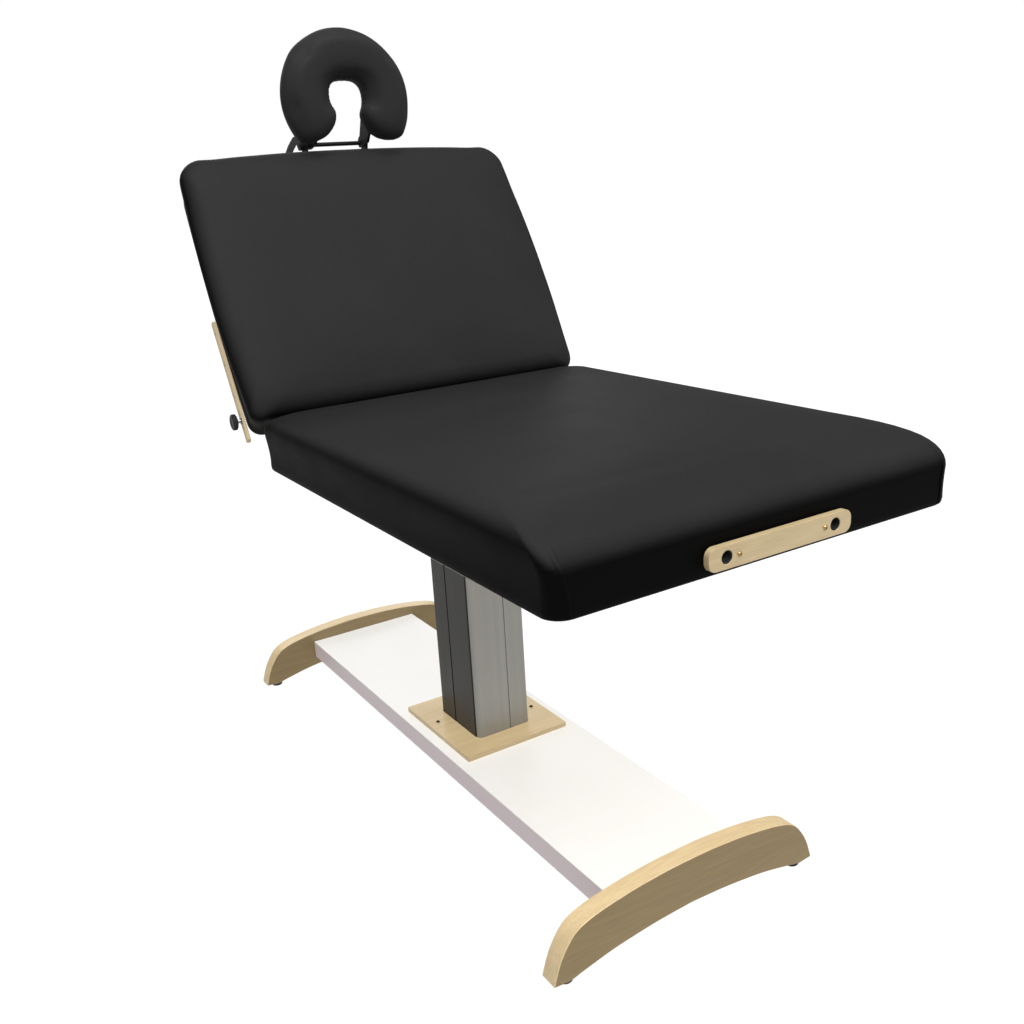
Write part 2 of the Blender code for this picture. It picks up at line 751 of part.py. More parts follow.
# Hinges: two leaves and a pin each, standing in the gap between the pads
for side, way in (("near", -1), ("far", 1)):
    y_mid = way * HINGE_Y
    third = LEAF_LEN / 3
    for owner, parent, sign in (("seat", joint_lift, 1), ("back", joint_back, -1)):
        if owner == "seat":
            shift = Vector((hinge_x, 0, HINGE_Z)) - SEAT
            spans = ((-LEAF_LEN / 2, -third / 2 - GAP), (third / 2 + GAP, LEAF_LEN / 2))
        else:
            shift = Vector((0, 0, 0))
            spans = ((-third / 2, third / 2),)
        inner = HINGE_GAP - GAP - LEAF_T
        xs = sorted((sign * inner, sign * (HINGE_GAP - GAP)))
        bm = bmesh.new()
        add_box(
            bm,
            (shift.x + xs[0], y_mid - LEAF_LEN / 2, shift.z - LEAF_H),
            (shift.x + xs[1], y_mid + LEAF_LEN / 2, shift.z - KNUCKLE_R - RUN),
        )
        leaf = put(f"hinge_leaf_{owner}_{side}", bm, STEEL, parent)
        bm = bmesh.new()
        for y0, y1 in spans:
            add_rod(bm, (shift.x, y_mid + y0, shift.z), (shift.x, y_mid + y1, shift.z), KNUCKLE_R, 16)
        barrel = cutter(f"knuckle_{owner}_{side}", bm, parent)
        bm = bmesh.new()
        for y0, y1 in spans:
            edge = sorted((0.0, sign * (HINGE_GAP - GAP)))
            add_box(
                bm,
                (shift.x + edge[0], y_mid + y0, shift.z - KNUCKLE_R - 0.004),
                (shift.x + edge[1], y_mid + y1, shift.z),
            )
        web = cutter(f"web_{owner}_{side}", bm, parent)
        bm = bmesh.new()
        add_rod(
            bm, (shift.x, y_mid - LEAF_LEN, shift.z), (shift.x, y_mid + LEAF_LEN, shift.z), PIN_R + RUN / 2, 16
        )
        bore = cutter(f"bore_{owner}_{side}", bm, parent)
        boolean(leaf, web, "UNION")
        boolean(leaf, barrel, "UNION")
        boolean(leaf, bore)
    rod(
        "hinge_pin_" + side, (0, y_mid - LEAF_LEN / 2, 0), (0, y_mid + LEAF_LEN / 2, 0),
        PIN_R, STEEL, joint_back, 16,
    )

# Back strut: tube on a hanging bracket, rod with a slotted eye around the back's pin
strut_foot = Vector((BASE_X + STRUT_FOOT_X, 0, STRUT_FOOT_Z))
turn_cos = math.cos(REST_TILT)
turn_sin = math.sin(REST_TILT)
head_x = -STRUT_HEAD_T * turn_cos + STRUT_HEAD_N * turn_sin
head_z = STRUT_HEAD_T * turn_sin + STRUT_HEAD_N * turn_cos
strut_head = Vector((hinge_x + head_x, 0, HINGE_Z + head_z))
strut_way = strut_head - strut_foot
strut_reach = strut_way.length
strut_turn = math.atan2(strut_way.z, -strut_way.x)
joint_strut = empty("joint_strut_swing", strut_foot, None, strut_turn)
joint_rod = empty("joint_strut_slide", (-STRUT_LEN, 0, 0), joint_strut)
cheek_y = EYE_T / 2 + RUN
bracket_top = UNDER_TOP
rail_x0 = seat_x0 + SKIRT + GAP
bm = bmesh.new()
add_box(
    bm,
    (rail_x0, -cheek_y - CHEEK_T, bracket_top - CHEEK_T),
    (rail_x0 + BRACKET_LEN, cheek_y + CHEEK_T, bracket_top),
)
for v in bm.verts:
    v.co -= SEAT
bracket = put("strut_bracket_seat", bm, BLACK_STEEL, joint_lift)
for side, way in (("near", -1), ("far", 1)):
    edges = sorted((way * cheek_y, way * (cheek_y + CHEEK_T)))
    low = strut_foot.z - CHEEK_W / 2
    outline = [
        (strut_foot.x - CHEEK_W / 2, low),
        (strut_foot.x + CHEEK_W, low),
        (rail_x0 + BRACKET_LEN - 0.002, bracket_top - CHEEK_T - 0.030),
        (rail_x0 + BRACKET_LEN - 0.002, bracket_top - 0.001),
        (rail_x0 + 0.002, bracket_top - 0.001),
        (strut_foot.x + CHEEK_W, strut_foot.z + 2.7 * CHEEK_W),
        (strut_foot.x + CHEEK_W * 0.4, strut_foot.z + CHEEK_W * 0.55),
        (strut_foot.x - CHEEK_W / 2, strut_foot.z + CHEEK_W * 0.4),
    ]
    outline = [(u - SEAT.x, v - SEAT.z) for u, v in outline]
    pin_hole = circle(strut_foot.x - SEAT.x, strut_foot.z - SEAT.z, STRUT_PIN_R + GAP, 16)
    cheek = prism(
        "strut_cheek_" + side, [outline, pin_hole], edges[0], edges[1], None, joint_lift, axis="Y", home=CUTTERS
    )
    cheek.hide_render = True
    cheek.display_type = "WIRE"
    boolean(bracket, cheek, "UNION")
pin_y = cheek_y + CHEEK_T + 0.004
rod(
    "strut_pin_seat",
    Vector((strut_foot.x, -pin_y, strut_foot.z)) - SEAT,
    Vector((strut_foot.x, pin_y, strut_foot.z)) - SEAT,
    STRUT_PIN_R, STEEL, joint_lift, 16,
)
# Tube: a flat tang at the foot pin, then a bored cylinder
bm = bmesh.new()
add_rod(bm, (-0.030, 0, 0), (-STRUT_LEN, 0, 0), STRUT_R, 20)
strut_body = put("strut_tube", bm, BLACK_STEEL, joint_strut)
tang = prism(
    "strut_tang", [rounded(-0.034, 0.011, -0.011, 0.011, 0.002, 0.0108, 5), circle(0, 0, STRUT_PIN_R + GAP, 16)],
    -EYE_T / 2, EYE_T / 2, None, joint_strut, axis="Y", home=CUTTERS,
)
tang.hide_render = True
tang.display_type = "WIRE"
bm = bmesh.new()
add_rod(bm, (-0.035, 0, 0), (-STRUT_LEN - CUT, 0, 0), STRUT_BORE_R, 20)
boolean(strut_body, cutter("strut_bore", bm, joint_strut))
boolean(strut_body, tang, "UNION")
# Rod: drawn from the tube's mouth, with the slotted eye around the back's pin
rod_mouth = -(strut_reach - STRUT_LEN)
eye_half = EYE_SLOT_LEN / 2 + EYE_RIM
eye = rounded(
    rod_mouth - eye_half, rod_mouth + eye_half, -EYE_SLOT_W / 2 - EYE_RIM, EYE_SLOT_W / 2 + EYE_RIM,
    EYE_SLOT_W / 2 + EYE_RIM / 2, EYE_SLOT_W / 2 + EYE_RIM / 2, 5,
)
slot_half = EYE_SLOT_LEN / 2
slot = rounded(
    rod_mouth - slot_half, rod_mouth + slot_half, -EYE_SLOT_W / 2, EYE_SLOT_W / 2,
    EYE_SLOT_W / 2 - 0.001, EYE_SLOT_W / 2 - 0.001, 5,
)
bm = bmesh.new()
add_rod(bm, (rod_mouth + ROD_TAIL, 0, 0), (rod_mouth + slot_half + 0.002, 0, 0), ROD_R, 16)
strut_rod = put("strut_rod", bm, STEEL, joint_rod)
eye_piece = prism("strut_eye", [eye, slot], -EYE_T / 2, EYE_T / 2, None, joint_rod, axis="Y", home=CUTTERS)
eye_piece.hide_render = True
eye_piece.display_type = "WIRE"
boolean(strut_rod, eye_piece, "UNION")
# Back bracket: two cheeks on a base plate under a cross rail, with the pin
bm = bmesh.new()
back_low = UNDER_N - GAP
add_box(
    bm,
    (-STRUT_HEAD_T - BRACKET_HALF, -cheek_y - CHEEK_T - BRACKET_WING, back_low - BRACKET_T),
    (-STRUT_HEAD_T + BRACKET_HALF, cheek_y + CHEEK_T + BRACKET_WING, back_low),
)
back_bracket = put("strut_bracket_back", bm, BLACK_STEEL, joint_back)
bm = bmesh.new()
for way in (-1, 1):
    edges = sorted((way * cheek_y, way * (cheek_y + CHEEK_T)))
    add_box(
        bm,
        (-STRUT_HEAD_T - CHEEK_W / 2, edges[0], STRUT_HEAD_N - 0.009),
        (-STRUT_HEAD_T + CHEEK_W / 2, edges[1], back_low - 0.002),
    )
boolean(back_bracket, cutter("back_cheeks", bm, joint_back), "UNION")
bm = bmesh.new()
add_rod(bm, (-STRUT_HEAD_T, -CUT * 3, STRUT_HEAD_N), (-STRUT_HEAD_T, CUT * 3, STRUT_HEAD_N), STRUT_PIN_R + GAP, 16)
boolean(back_bracket, cutter("back_pin_bore", bm, joint_back))
bm = bmesh.new()
add_box(
    bm,
    (-STRUT_HEAD_T - BRACKET_HALF - CUT, -cheek_y, back_low - BRACKET_T - CUT),
    (-STRUT_HEAD_T - CHEEK_W / 2 + GAP, cheek_y, back_low + CUT),
)
boolean(back_bracket, cutter("back_eye_relief", bm, joint_back))
rod(
    "strut_pin_back", (-STRUT_HEAD_T, -pin_y, STRUT_HEAD_N), (-STRUT_HEAD_T, pin_y, STRUT_HEAD_N),
    STRUT_PIN_R, STEEL, joint_back, 16,
)
back_reach_y = FRAME_HALF - BACK_TAPER - RAIL_T - GAP
box(
    "back_cross_rail",
    (-STRUT_HEAD_T - BEARER_W / 2, -back_reach_y, UNDER_N),
    (-STRUT_HEAD_T + BEARER_W / 2, back_reach_y, RAIL_N),
    PINE, joint_back,
)

# Face cradle yoke: two posts in the head sockets, a crossbar and two ears
joint_slide = empty("joint_cradle_slide", (head_face - PLATE_T, 0, HOLE_N), joint_back)
YOKE = Vector((head_face - PLATE_T, 0, HOLE_N))
bar_x = -YOKE_T - YOKE.x
bm = bmesh.new()
bar_half = HOLE_SPACING / 2 + 0.014
add_box(bm, (bar_x - YOKE_BAR, -bar_half, -YOKE_BAR / 2), (bar_x, bar_half, YOKE_BAR / 2))
yoke = put("cradle_yoke", bm, BLACK_STEEL, joint_slide)
bm = bmesh.new()
for way in (-1, 1):
    y = way * HOLE_SPACING / 2
    add_rod(bm, (POST_IN, y, 0), (bar_x - YOKE_BAR / 2, y, 0), POST_R, 20)
boolean(yoke, cutter("cradle_posts", bm, joint_slide), "UNION")
pivot = Vector((-PIVOT_T, 0, PIVOT_N)) - YOKE
for side, way in (("near", -1), ("far", 1)):
    edges = sorted((way * EAR_Y, way * (EAR_Y + EAR_T)))
    reach = 0.012
    outline = [(bar_x - 0.002, -YOKE_BAR / 2 + 0.002), (bar_x - 0.002, YOKE_BAR / 2)]
    for k in range(7):
        a = math.radians(50 + 28 * k)
        outline.append((pivot.x + reach * math.cos(a), pivot.z + reach * math.sin(a)))
    outline.append((bar_x - YOKE_BAR, -YOKE_BAR / 2 + 0.002))
    ear = prism(
        "cradle_ear_" + side, [outline, circle(pivot.x, pivot.z, TILT_ROD_R + GAP, 16)],
        edges[0], edges[1], None, joint_slide, axis="Y", home=CUTTERS,
    )
    ear.hide_render = True
    ear.display_type = "WIRE"
    boolean(yoke, ear, "UNION")
rod_half = EAR_Y + EAR_T + 0.003
rod(
    "cradle_tilt_rod", (pivot.x, -rod_half - LEVER_T, pivot.z), (pivot.x, rod_half, pivot.z),
    TILT_ROD_R, STEEL, joint_slide, 16,
)

# Cradle platform: a horseshoe plate on two arms that hang on the tilt rod
joint_tilt = empty("joint_cradle_tilt", (-PIVOT_T, 0, PIVOT_N), joint_back, CRADLE_LEAN)


def horseshoe(radius, band, sweep, mid, steps=20):
    """Outline of a horseshoe open to the table, in (x, y) with x running away from the cradle's top."""
    outer = []
    inner = []
    for k in range(steps + 1):
        a = -sweep + 2 * sweep * k / steps
        c, s = math.cos(a), math.sin(a)
        outer.append((-mid - (radius + band / 2) * c, (radius + band / 2) * s))
        inner.append((-mid - (radius - band / 2) * c, (radius - band / 2) * s))
    return outer + inner[::-1]


platform = prism(
    "cradle_platform", [horseshoe(CUSHION_R - 0.004, CUSHION_BAND * 0.66, math.radians(112), CUSHION_MID)],
    PLATFORM_N, PLATFORM_N + PLATFORM_T, PLASTIC, joint_tilt,
)
for side, way in (("near", -1), ("far", 1)):
    edges = sorted((way * ARM_Y, way * (ARM_Y + ARM_T)))
    outline = [
        (-ARM_BOSS, PLATFORM_N + PLATFORM_T / 2), (-ARM_REACH, PLATFORM_N + PLATFORM_T / 2),
        (-ARM_REACH, PLATFORM_N - ARM_W / 2), (-ARM_BOSS - ARM_W / 2, ARM_W / 2), (-ARM_BOSS, -ARM_W / 2),
        (0.0, -ARM_BOSS), (ARM_BOSS - 0.001, -ARM_W / 2), (ARM_BOSS, ARM_W / 2), (ARM_W / 2, PLATFORM_N - ARM_W),
    ]
    arm = prism(
        "platform_arm_" + side, [outline, circle(0, 0, TILT_ROD_R + GAP, 16)],
        edges[0], edges[1], None, joint_tilt, axis="Y", home=CUTTERS,
    )
    arm.hide_render = True
    arm.display_type = "WIRE"
    boolean(platform, arm, "UNION")

# Face cushion: a full round band swept around the face opening, with closed ends
base_n = PLATFORM_N + PLATFORM_T + GAP


def cushion_ring(angle, scale, push):
    """One section of the cushion at an angle around the opening."""
    half = CUSHION_BAND / 2 * scale
    ring = []
    for k in range(16):
        a = 2 * math.pi * k / 16
        c, s = math.cos(a), math.sin(a)
        wide = half * math.copysign(abs(c) ** 0.72, c)
        rise = CUSHION_T / 2 * (0.35 + 0.65 * scale) * math.copysign(abs(s) ** 0.72, s)
        r = CUSHION_R + wide
        x = -CUSHION_MID - r * math.cos(angle) + push * math.sin(abs(angle))
        y = r * math.sin(angle) + push * math.cos(angle) * math.copysign(1.0, angle)
        ring.append((x, y, base_n + CUSHION_T / 2 + rise))
    return ring


rings = []
END_SHAPE = ((0.30, 0.038), (0.62, 0.033), (0.84, 0.022), (0.96, 0.010))
for scale, push in END_SHAPE:
    rings.append(cushion_ring(-CUSHION_SWEEP, scale, push))
for k in range(25):
    rings.append(cushion_ring(-CUSHION_SWEEP + 2 * CUSHION_SWEEP * k / 24, 1.0, 0.0))
for scale, push in reversed(END_SHAPE):
    rings.append(cushion_ring(CUSHION_SWEEP, scale, push))
loft("face_cushion", rings, VINYL, joint_tilt)

# Cam lever on the near end of the tilt rod, drawn in upright axes
joint_lever = empty("joint_cam_lever", (-PIVOT_T, 0, PIVOT_N), joint_back, -REST_TILT)
lever_y = -(EAR_Y + EAR_T + 0.0015)
outline = [(0.012 * math.cos(math.radians(a)), 0.012 * math.sin(math.radians(a))) for a in range(-120, 61, 30)]
outline += [(-0.004, 0.0155), (-0.024, 0.0215), (-0.034, 0.0205), (-0.070, 0.0035), (-0.093, -0.0125)]
outline += [(-0.0955, -0.018), (-0.091, -0.022), (-0.085, -0.0215), (-0.060, -0.0065), (-0.030, 0.0085), (-0.016, 0.0045)]
prism(
    "cradle_cam_lever", [outline, circle(0, 0, TILT_ROD_R + GAP, 16)],
    lever_y - LEVER_T, lever_y, PLASTIC, joint_lever, axis="Y",
)

# Column pieces move with the lift
for name in ("column_inner", "lift_push_tube", "column_top_plate"):
    piece = TABLE.objects[name]
    for v in piece.data.vertices:
        v.co -= SEAT
    piece.parent = joint_lift
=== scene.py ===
"""Electric massage table: upholstery, timber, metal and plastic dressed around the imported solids."""

import json
import logging
import math
from dataclasses import dataclass, field, replace
from enum import Enum
from typing import Any, Iterable, Sequence

import bmesh
import bpy
import numpy as np
from mathutils import Matrix, Vector

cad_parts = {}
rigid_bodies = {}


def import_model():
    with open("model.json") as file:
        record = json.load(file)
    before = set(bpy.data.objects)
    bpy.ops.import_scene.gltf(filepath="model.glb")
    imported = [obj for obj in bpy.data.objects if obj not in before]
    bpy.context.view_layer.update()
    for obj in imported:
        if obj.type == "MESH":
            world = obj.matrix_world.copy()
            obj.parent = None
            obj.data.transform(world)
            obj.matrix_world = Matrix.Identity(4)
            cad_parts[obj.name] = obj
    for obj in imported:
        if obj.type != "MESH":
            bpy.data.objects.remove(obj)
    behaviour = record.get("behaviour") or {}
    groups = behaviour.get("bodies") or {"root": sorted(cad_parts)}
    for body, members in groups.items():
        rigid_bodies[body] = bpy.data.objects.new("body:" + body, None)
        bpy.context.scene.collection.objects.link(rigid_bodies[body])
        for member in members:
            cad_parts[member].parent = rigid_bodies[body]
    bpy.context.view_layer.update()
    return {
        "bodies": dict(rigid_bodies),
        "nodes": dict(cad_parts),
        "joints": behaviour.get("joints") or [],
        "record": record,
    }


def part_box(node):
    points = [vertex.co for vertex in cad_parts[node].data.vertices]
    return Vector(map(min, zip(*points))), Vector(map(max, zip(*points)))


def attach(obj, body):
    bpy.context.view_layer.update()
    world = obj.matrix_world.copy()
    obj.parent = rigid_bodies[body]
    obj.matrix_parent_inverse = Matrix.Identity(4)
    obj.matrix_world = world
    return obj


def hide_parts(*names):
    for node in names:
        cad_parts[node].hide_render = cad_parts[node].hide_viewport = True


LOG = logging.getLogger("massage_table")
BMesh, Mesh, Object = bmesh.types.BMesh, bpy.types.Mesh, bpy.types.Object
Material, NodeTree, Socket = bpy.types.Material, bpy.types.NodeTree, bpy.types.NodeSocket
Pair = tuple[float, float]
Point = tuple[float, float, float]
Colour = tuple[float, float, float]
Spot = tuple[Vector, Vector, Vector]
Layers = tuple[Any, Any, Any]

VECTOR, FLOAT, TINT = "NodeSocketVector", "NodeSocketFloat", "NodeSocketColor"
GEOMETRY = "NodeSocketGeometry"
# The second name is the attribute of painted shade: darker sides and grooves where less light falls, and a painted
# shadow along the seat's hinge crease.
WORN_EDGE, PAINTED_SHADE_ATTRIBUTE = "worn_edge", "dark_side"
BLACK, GREY, WHITE = (0.0, 0.0, 0.0, 1), (0.5, 0.5, 0.5, 1), (1, 1, 1, 1)
X_AXIS, Y_AXIS, Z_AXIS, DOWN = (1, 0, 0), (0, 1, 0), (0, 0, 1), (0, 0, -1)


def rgba(colour: Colour, factor: float = 1.0) -> tuple[float, ...]:
    """Scales a colour and adds full opacity."""
    return (*(factor * c for c in colour), 1)


def ramp(value: float, start: float, length: float) -> float:
    """Rises from 0 to 1 over a length."""
    return min(max((value - start) / length, 0.0), 1.0)


def new_object(name: str, data: Any) -> Object:
    """Adds an object to the scene.

    Args:
        name: Name of the object.
        data: Its mesh, light or camera.

    Returns:
        The object.
    """
    obj = bpy.data.objects.new(name, data)
    bpy.context.scene.collection.objects.link(obj)
    return obj


# ---- node graphs


class Graph:
    """Adds nodes to a tree and links them by socket."""

    def __init__(self, tree: NodeTree) -> None:
        """Keeps the tree that the nodes go into."""
        self.tree = tree

    def add(self, kind: str, sockets: dict | None = None, **settings: Any) -> bpy.types.Node:
        """Adds one node.

        Args:
            kind: Node type name.
            sockets: Input name or number, mapped to a value, an output socket or a list of output sockets.
            settings: Properties of the node itself.

        Returns:
            The new node.
        """
        node = self.tree.nodes.new(kind)
        for key, value in settings.items():
            setattr(node, key, value)
        for key, value in (sockets or {}).items():
            if isinstance(value, (Socket, list)):
                for source in value if isinstance(value, list) else [value]:
                    self.tree.links.new(source, node.inputs[key])
            else:
                node.inputs[key].default_value = value
        return node

    def out(self, kind: str, sockets: dict | None = None, **settings: Any) -> Socket:
        """Adds one node and returns its first output."""
        return self.add(kind, sockets, **settings).outputs[0]

    def math(self, operation: str, *values: Any) -> Socket:
        """Adds a Math node in either kind of tree and returns its output."""
        return self.out("ShaderNodeMath", dict(enumerate(values)), operation=operation)

    def times(self, value: Any, factor: Any) -> Socket:
        """Multiplies two values and returns the product."""
        return self.math("MULTIPLY", value, factor)

    def triple(self, *values: Any) -> Socket:
        """Joins three numbers into a vector."""
        return self.out("ShaderNodeCombineXYZ", dict(enumerate(values)))

    def blend(self, factor: Any, first: Any, second: Any, mode: str = "MIX") -> Socket:
        """Mixes two colours by a factor and returns the colour."""
        sockets = {0: factor, 6: first, 7: second}
        return self.add("ShaderNodeMix", sockets, data_type="RGBA", blend_type=mode).outputs[2]

    def spread(self, value: Any, low: float, high: float, to_low: Any = 0.0, to_high: Any = 1.0) -> Socket:
        """Maps a value from one range to another and returns it."""
        return self.out("ShaderNodeMapRange", {0: value, 1: low, 2: high, 3: to_low, 4: to_high})

    def noise(self, vector: Socket, scale: Any, detail: float, **more: float) -> Socket:
        """Adds a noise texture and returns its value."""
        return self.out("ShaderNodeTexNoise", {"Vector": vector, "Scale": scale, "Detail": detail, **more})


def emptied(owner: Any) -> NodeTree:
    """Turns on the nodes of a material or a world.

    Args:
        owner: The material or world.

    Returns:
        Its node tree, without any node.
    """
    owner.use_nodes = True
    owner.node_tree.nodes.clear()
    return owner.node_tree


def new_group(name: str, inputs: dict[str, Any], outputs: Sequence[str]) -> tuple[Graph, Any]:
    """Starts a shader node group whose first input is a place.

    Args:
        name: Name of the group.
        inputs: Default of each further input, a number or a colour.
        outputs: Names of the outputs; the one named Colour is a colour.

    Returns:
        The graph, and the sockets that bring its inputs.
    """
    tree = bpy.data.node_groups.new(name, "ShaderNodeTree")
    tree.interface.new_socket("Vector", in_out="INPUT", socket_type=VECTOR)
    for label, default in inputs.items():
        kind = TINT if isinstance(default, tuple) else FLOAT
        tree.interface.new_socket(label, in_out="INPUT", socket_type=kind).default_value = default
    for label in outputs:
        tree.interface.new_socket(label, in_out="OUTPUT", socket_type=TINT if label == "Colour" else FLOAT)
    graph = Graph(tree)
    return graph, graph.add("NodeGroupInput").outputs


class Effects:
    """Shader node groups that several finishes share."""

    def __init__(self) -> None:
        """Builds each group once."""
        self.skin = self._skin()
        self.mottle = self._mottle()
        self.timber = self._timber()
        self.brushed = self._brushed()
        self.wear = self._wear()

    @staticmethod
    def _skin() -> NodeTree:
        """Builds the fine pebbled skin of vinyl, plastic and powder coat.

        Returns:
            The group.
        """
        graph, given = new_group("pebbled_skin", {"Scale": 700.0, "Softness": 0.5}, ("Height", "Pits"))
        sockets = {"Vector": given["Vector"], "Scale": given["Scale"], "Smoothness": given["Softness"]}
        cells = graph.add("ShaderNodeTexVoronoi", sockets, feature="SMOOTH_F1").outputs["Distance"]
        creases = graph.noise(given["Vector"], graph.times(given["Scale"], 0.31), 3.0)
        height = graph.math("ADD", graph.math("SUBTRACT", 1.0, cells), graph.times(creases, 0.6))
        graph.add("NodeGroupOutput", {"Height": height, "Pits": graph.spread(creases, 0.35, 0.65)})
        return graph.tree

    @staticmethod
    def _mottle() -> NodeTree:
        """Builds broad, faint patches of tone and gloss.

        Returns:
            The group.
        """
        graph, given = new_group("mottle", {"Scale": 6.0, "Low": 0.9, "High": 1.1}, ("Value", "Mask"))
        patch = graph.noise(given["Vector"], given["Scale"], 4.0, Roughness=0.6)
        value = graph.spread(patch, 0.3, 0.7, given["Low"], given["High"])
        graph.add("NodeGroupOutput", {"Value": value, "Mask": graph.spread(patch, 0.4, 0.62)})
        return graph.tree

    @staticmethod
    def _timber() -> NodeTree:
        """Builds straight grained timber whose grain runs along the vector's X.

        Returns:
            The group.
        """
        tints = {"Pale": (0.8, 0.6, 0.4, 1), "Deep": (0.5, 0.35, 0.2, 1)}
        graph, given = new_group(
            "timber_grain", {**tints, "Scale": 1.0, "Figure": 0.5}, ("Colour", "Height", "Gloss")
        )
        sockets = {0: given["Vector"], "Scale": given["Scale"]}
        sized = graph.out("ShaderNodeVectorMath", sockets, operation="SCALE")
        long = graph.out("ShaderNodeMapping", {"Vector": sized, "Scale": (0.10, 1.0, 1.0)})
        longer = graph.out("ShaderNodeMapping", {"Vector": sized, "Scale": (0.035, 1.0, 1.0)})
        rings = graph.noise(long, 26.0, 3.0, Distortion=0.8)
        band = graph.math("PINGPONG", graph.math("FRACT", graph.times(rings, 5.0)), 0.5)
        streak = graph.spread(graph.noise(longer, 520.0, 2.0), 0.42, 0.75, 0.0, 0.38)
        cloud = graph.spread(graph.noise(long, 7.0, 2.0), 0.35, 0.7, -0.10, 0.30)
        tone = graph.math("ADD", graph.math("ADD", graph.times(band, given["Figure"]), streak), cloud)
        graph.add("NodeGroupOutput", {
            "Colour": graph.blend(graph.out("ShaderNodeClamp", {0: tone}), given["Pale"], given["Deep"]),
            "Height": graph.math("SUBTRACT", 1.0, streak),
            "Gloss": graph.spread(tone, 0.0, 0.8),
        })
        return graph.tree

    @staticmethod
    def _brushed() -> NodeTree:
        """Builds fine drawn lines along the vector's Z, as on extruded or turned metal.

        Returns:
            The group.
        """
        graph, given = new_group("drawn_lines", {"Scale": 800.0, "Stretch": 0.006}, ("Lines", "Tone"))
        apart = graph.add("ShaderNodeSeparateXYZ", {0: given["Vector"]}).outputs
        place = graph.triple(apart[0], apart[1], graph.times(apart[2], given["Stretch"]))
        fine = graph.noise(place, given["Scale"], 4.0)
        broad = graph.noise(place, graph.times(given["Scale"], 0.09), 2.0)
        graph.add("NodeGroupOutput", {"Lines": fine, "Tone": graph.spread(broad, 0.3, 0.7)})
        return graph.tree

    @staticmethod
    def _wear() -> NodeTree:
        """Builds a mask of rubbed edges, from the worn edge attribute broken up by noise.

        Returns:
            The group.
        """
        graph, given = new_group("rubbed_edges", {"Scale": 60.0, "Amount": 0.5}, ("Mask",))
        edge = graph.add("ShaderNodeAttribute", attribute_name=WORN_EDGE).outputs["Fac"]
        broken = graph.spread(graph.noise(given["Vector"], given["Scale"], 5.0, Roughness=0.7), 0.42, 0.66)
        graph.add("NodeGroupOutput", {"Mask": graph.times(edge, graph.times(broken, given["Amount"]))})
        return graph.tree


# ---- finishes


class MaterialGraph(Graph):
    """Node tree of one material, with the shared groups at hand."""

    def __init__(self, tree: NodeTree, effects: Effects, turn: Point) -> None:
        """Finds the place on the surface.

        Args:
            tree: Empty tree of the material.
            effects: The shared node groups.
            turn: Turn of the grain, in degrees about X, Y and Z.
        """
        super().__init__(tree)
        self.effects = effects
        self.place = self.add("ShaderNodeTexCoord").outputs["Object"]
        if any(turn):
            angles = tuple(math.radians(a) for a in turn)
            self.place = self.out("ShaderNodeMapping", {"Vector": self.place, "Rotation": angles})

    def group(self, tree: NodeTree, **sockets: Any) -> Any:
        """Lays a shared group on the surface and returns its outputs."""
        return self.add("ShaderNodeGroup", {"Vector": self.place, **sockets}, node_tree=tree).outputs

    def paint_shade_on(self, colour: Any, tone: Colour) -> Socket:
        """Paints shade into a colour where the mesh carries painted shade, and deepens it towards black, as painted
        shade in grooves, where that value is over 1.

        Args:
            colour: Colour of the plain surface.
            tone: Factor of the painted shade.

        Returns:
            The colour with its painted shade.
        """
        share = self.add("ShaderNodeAttribute", attribute_name=PAINTED_SHADE_ATTRIBUTE).outputs["Fac"]
        # Painted shade: up to 1 the attribute mixes towards the darker tone, and past 1 on towards black.
        toned = self.blend(share, colour, self.blend(1.0, colour, rgba(tone), "MULTIPLY"))
        return self.blend(self.math("SUBTRACT", share, 1.0), toned, BLACK)


class Surface(Enum):
    """The kinds of surface on the table."""

    VINYL = "vinyl"
    TIMBER = "timber"
    LAMINATE = "laminate"
    DRAWN_METAL = "drawn_metal"
    COATED = "coated"


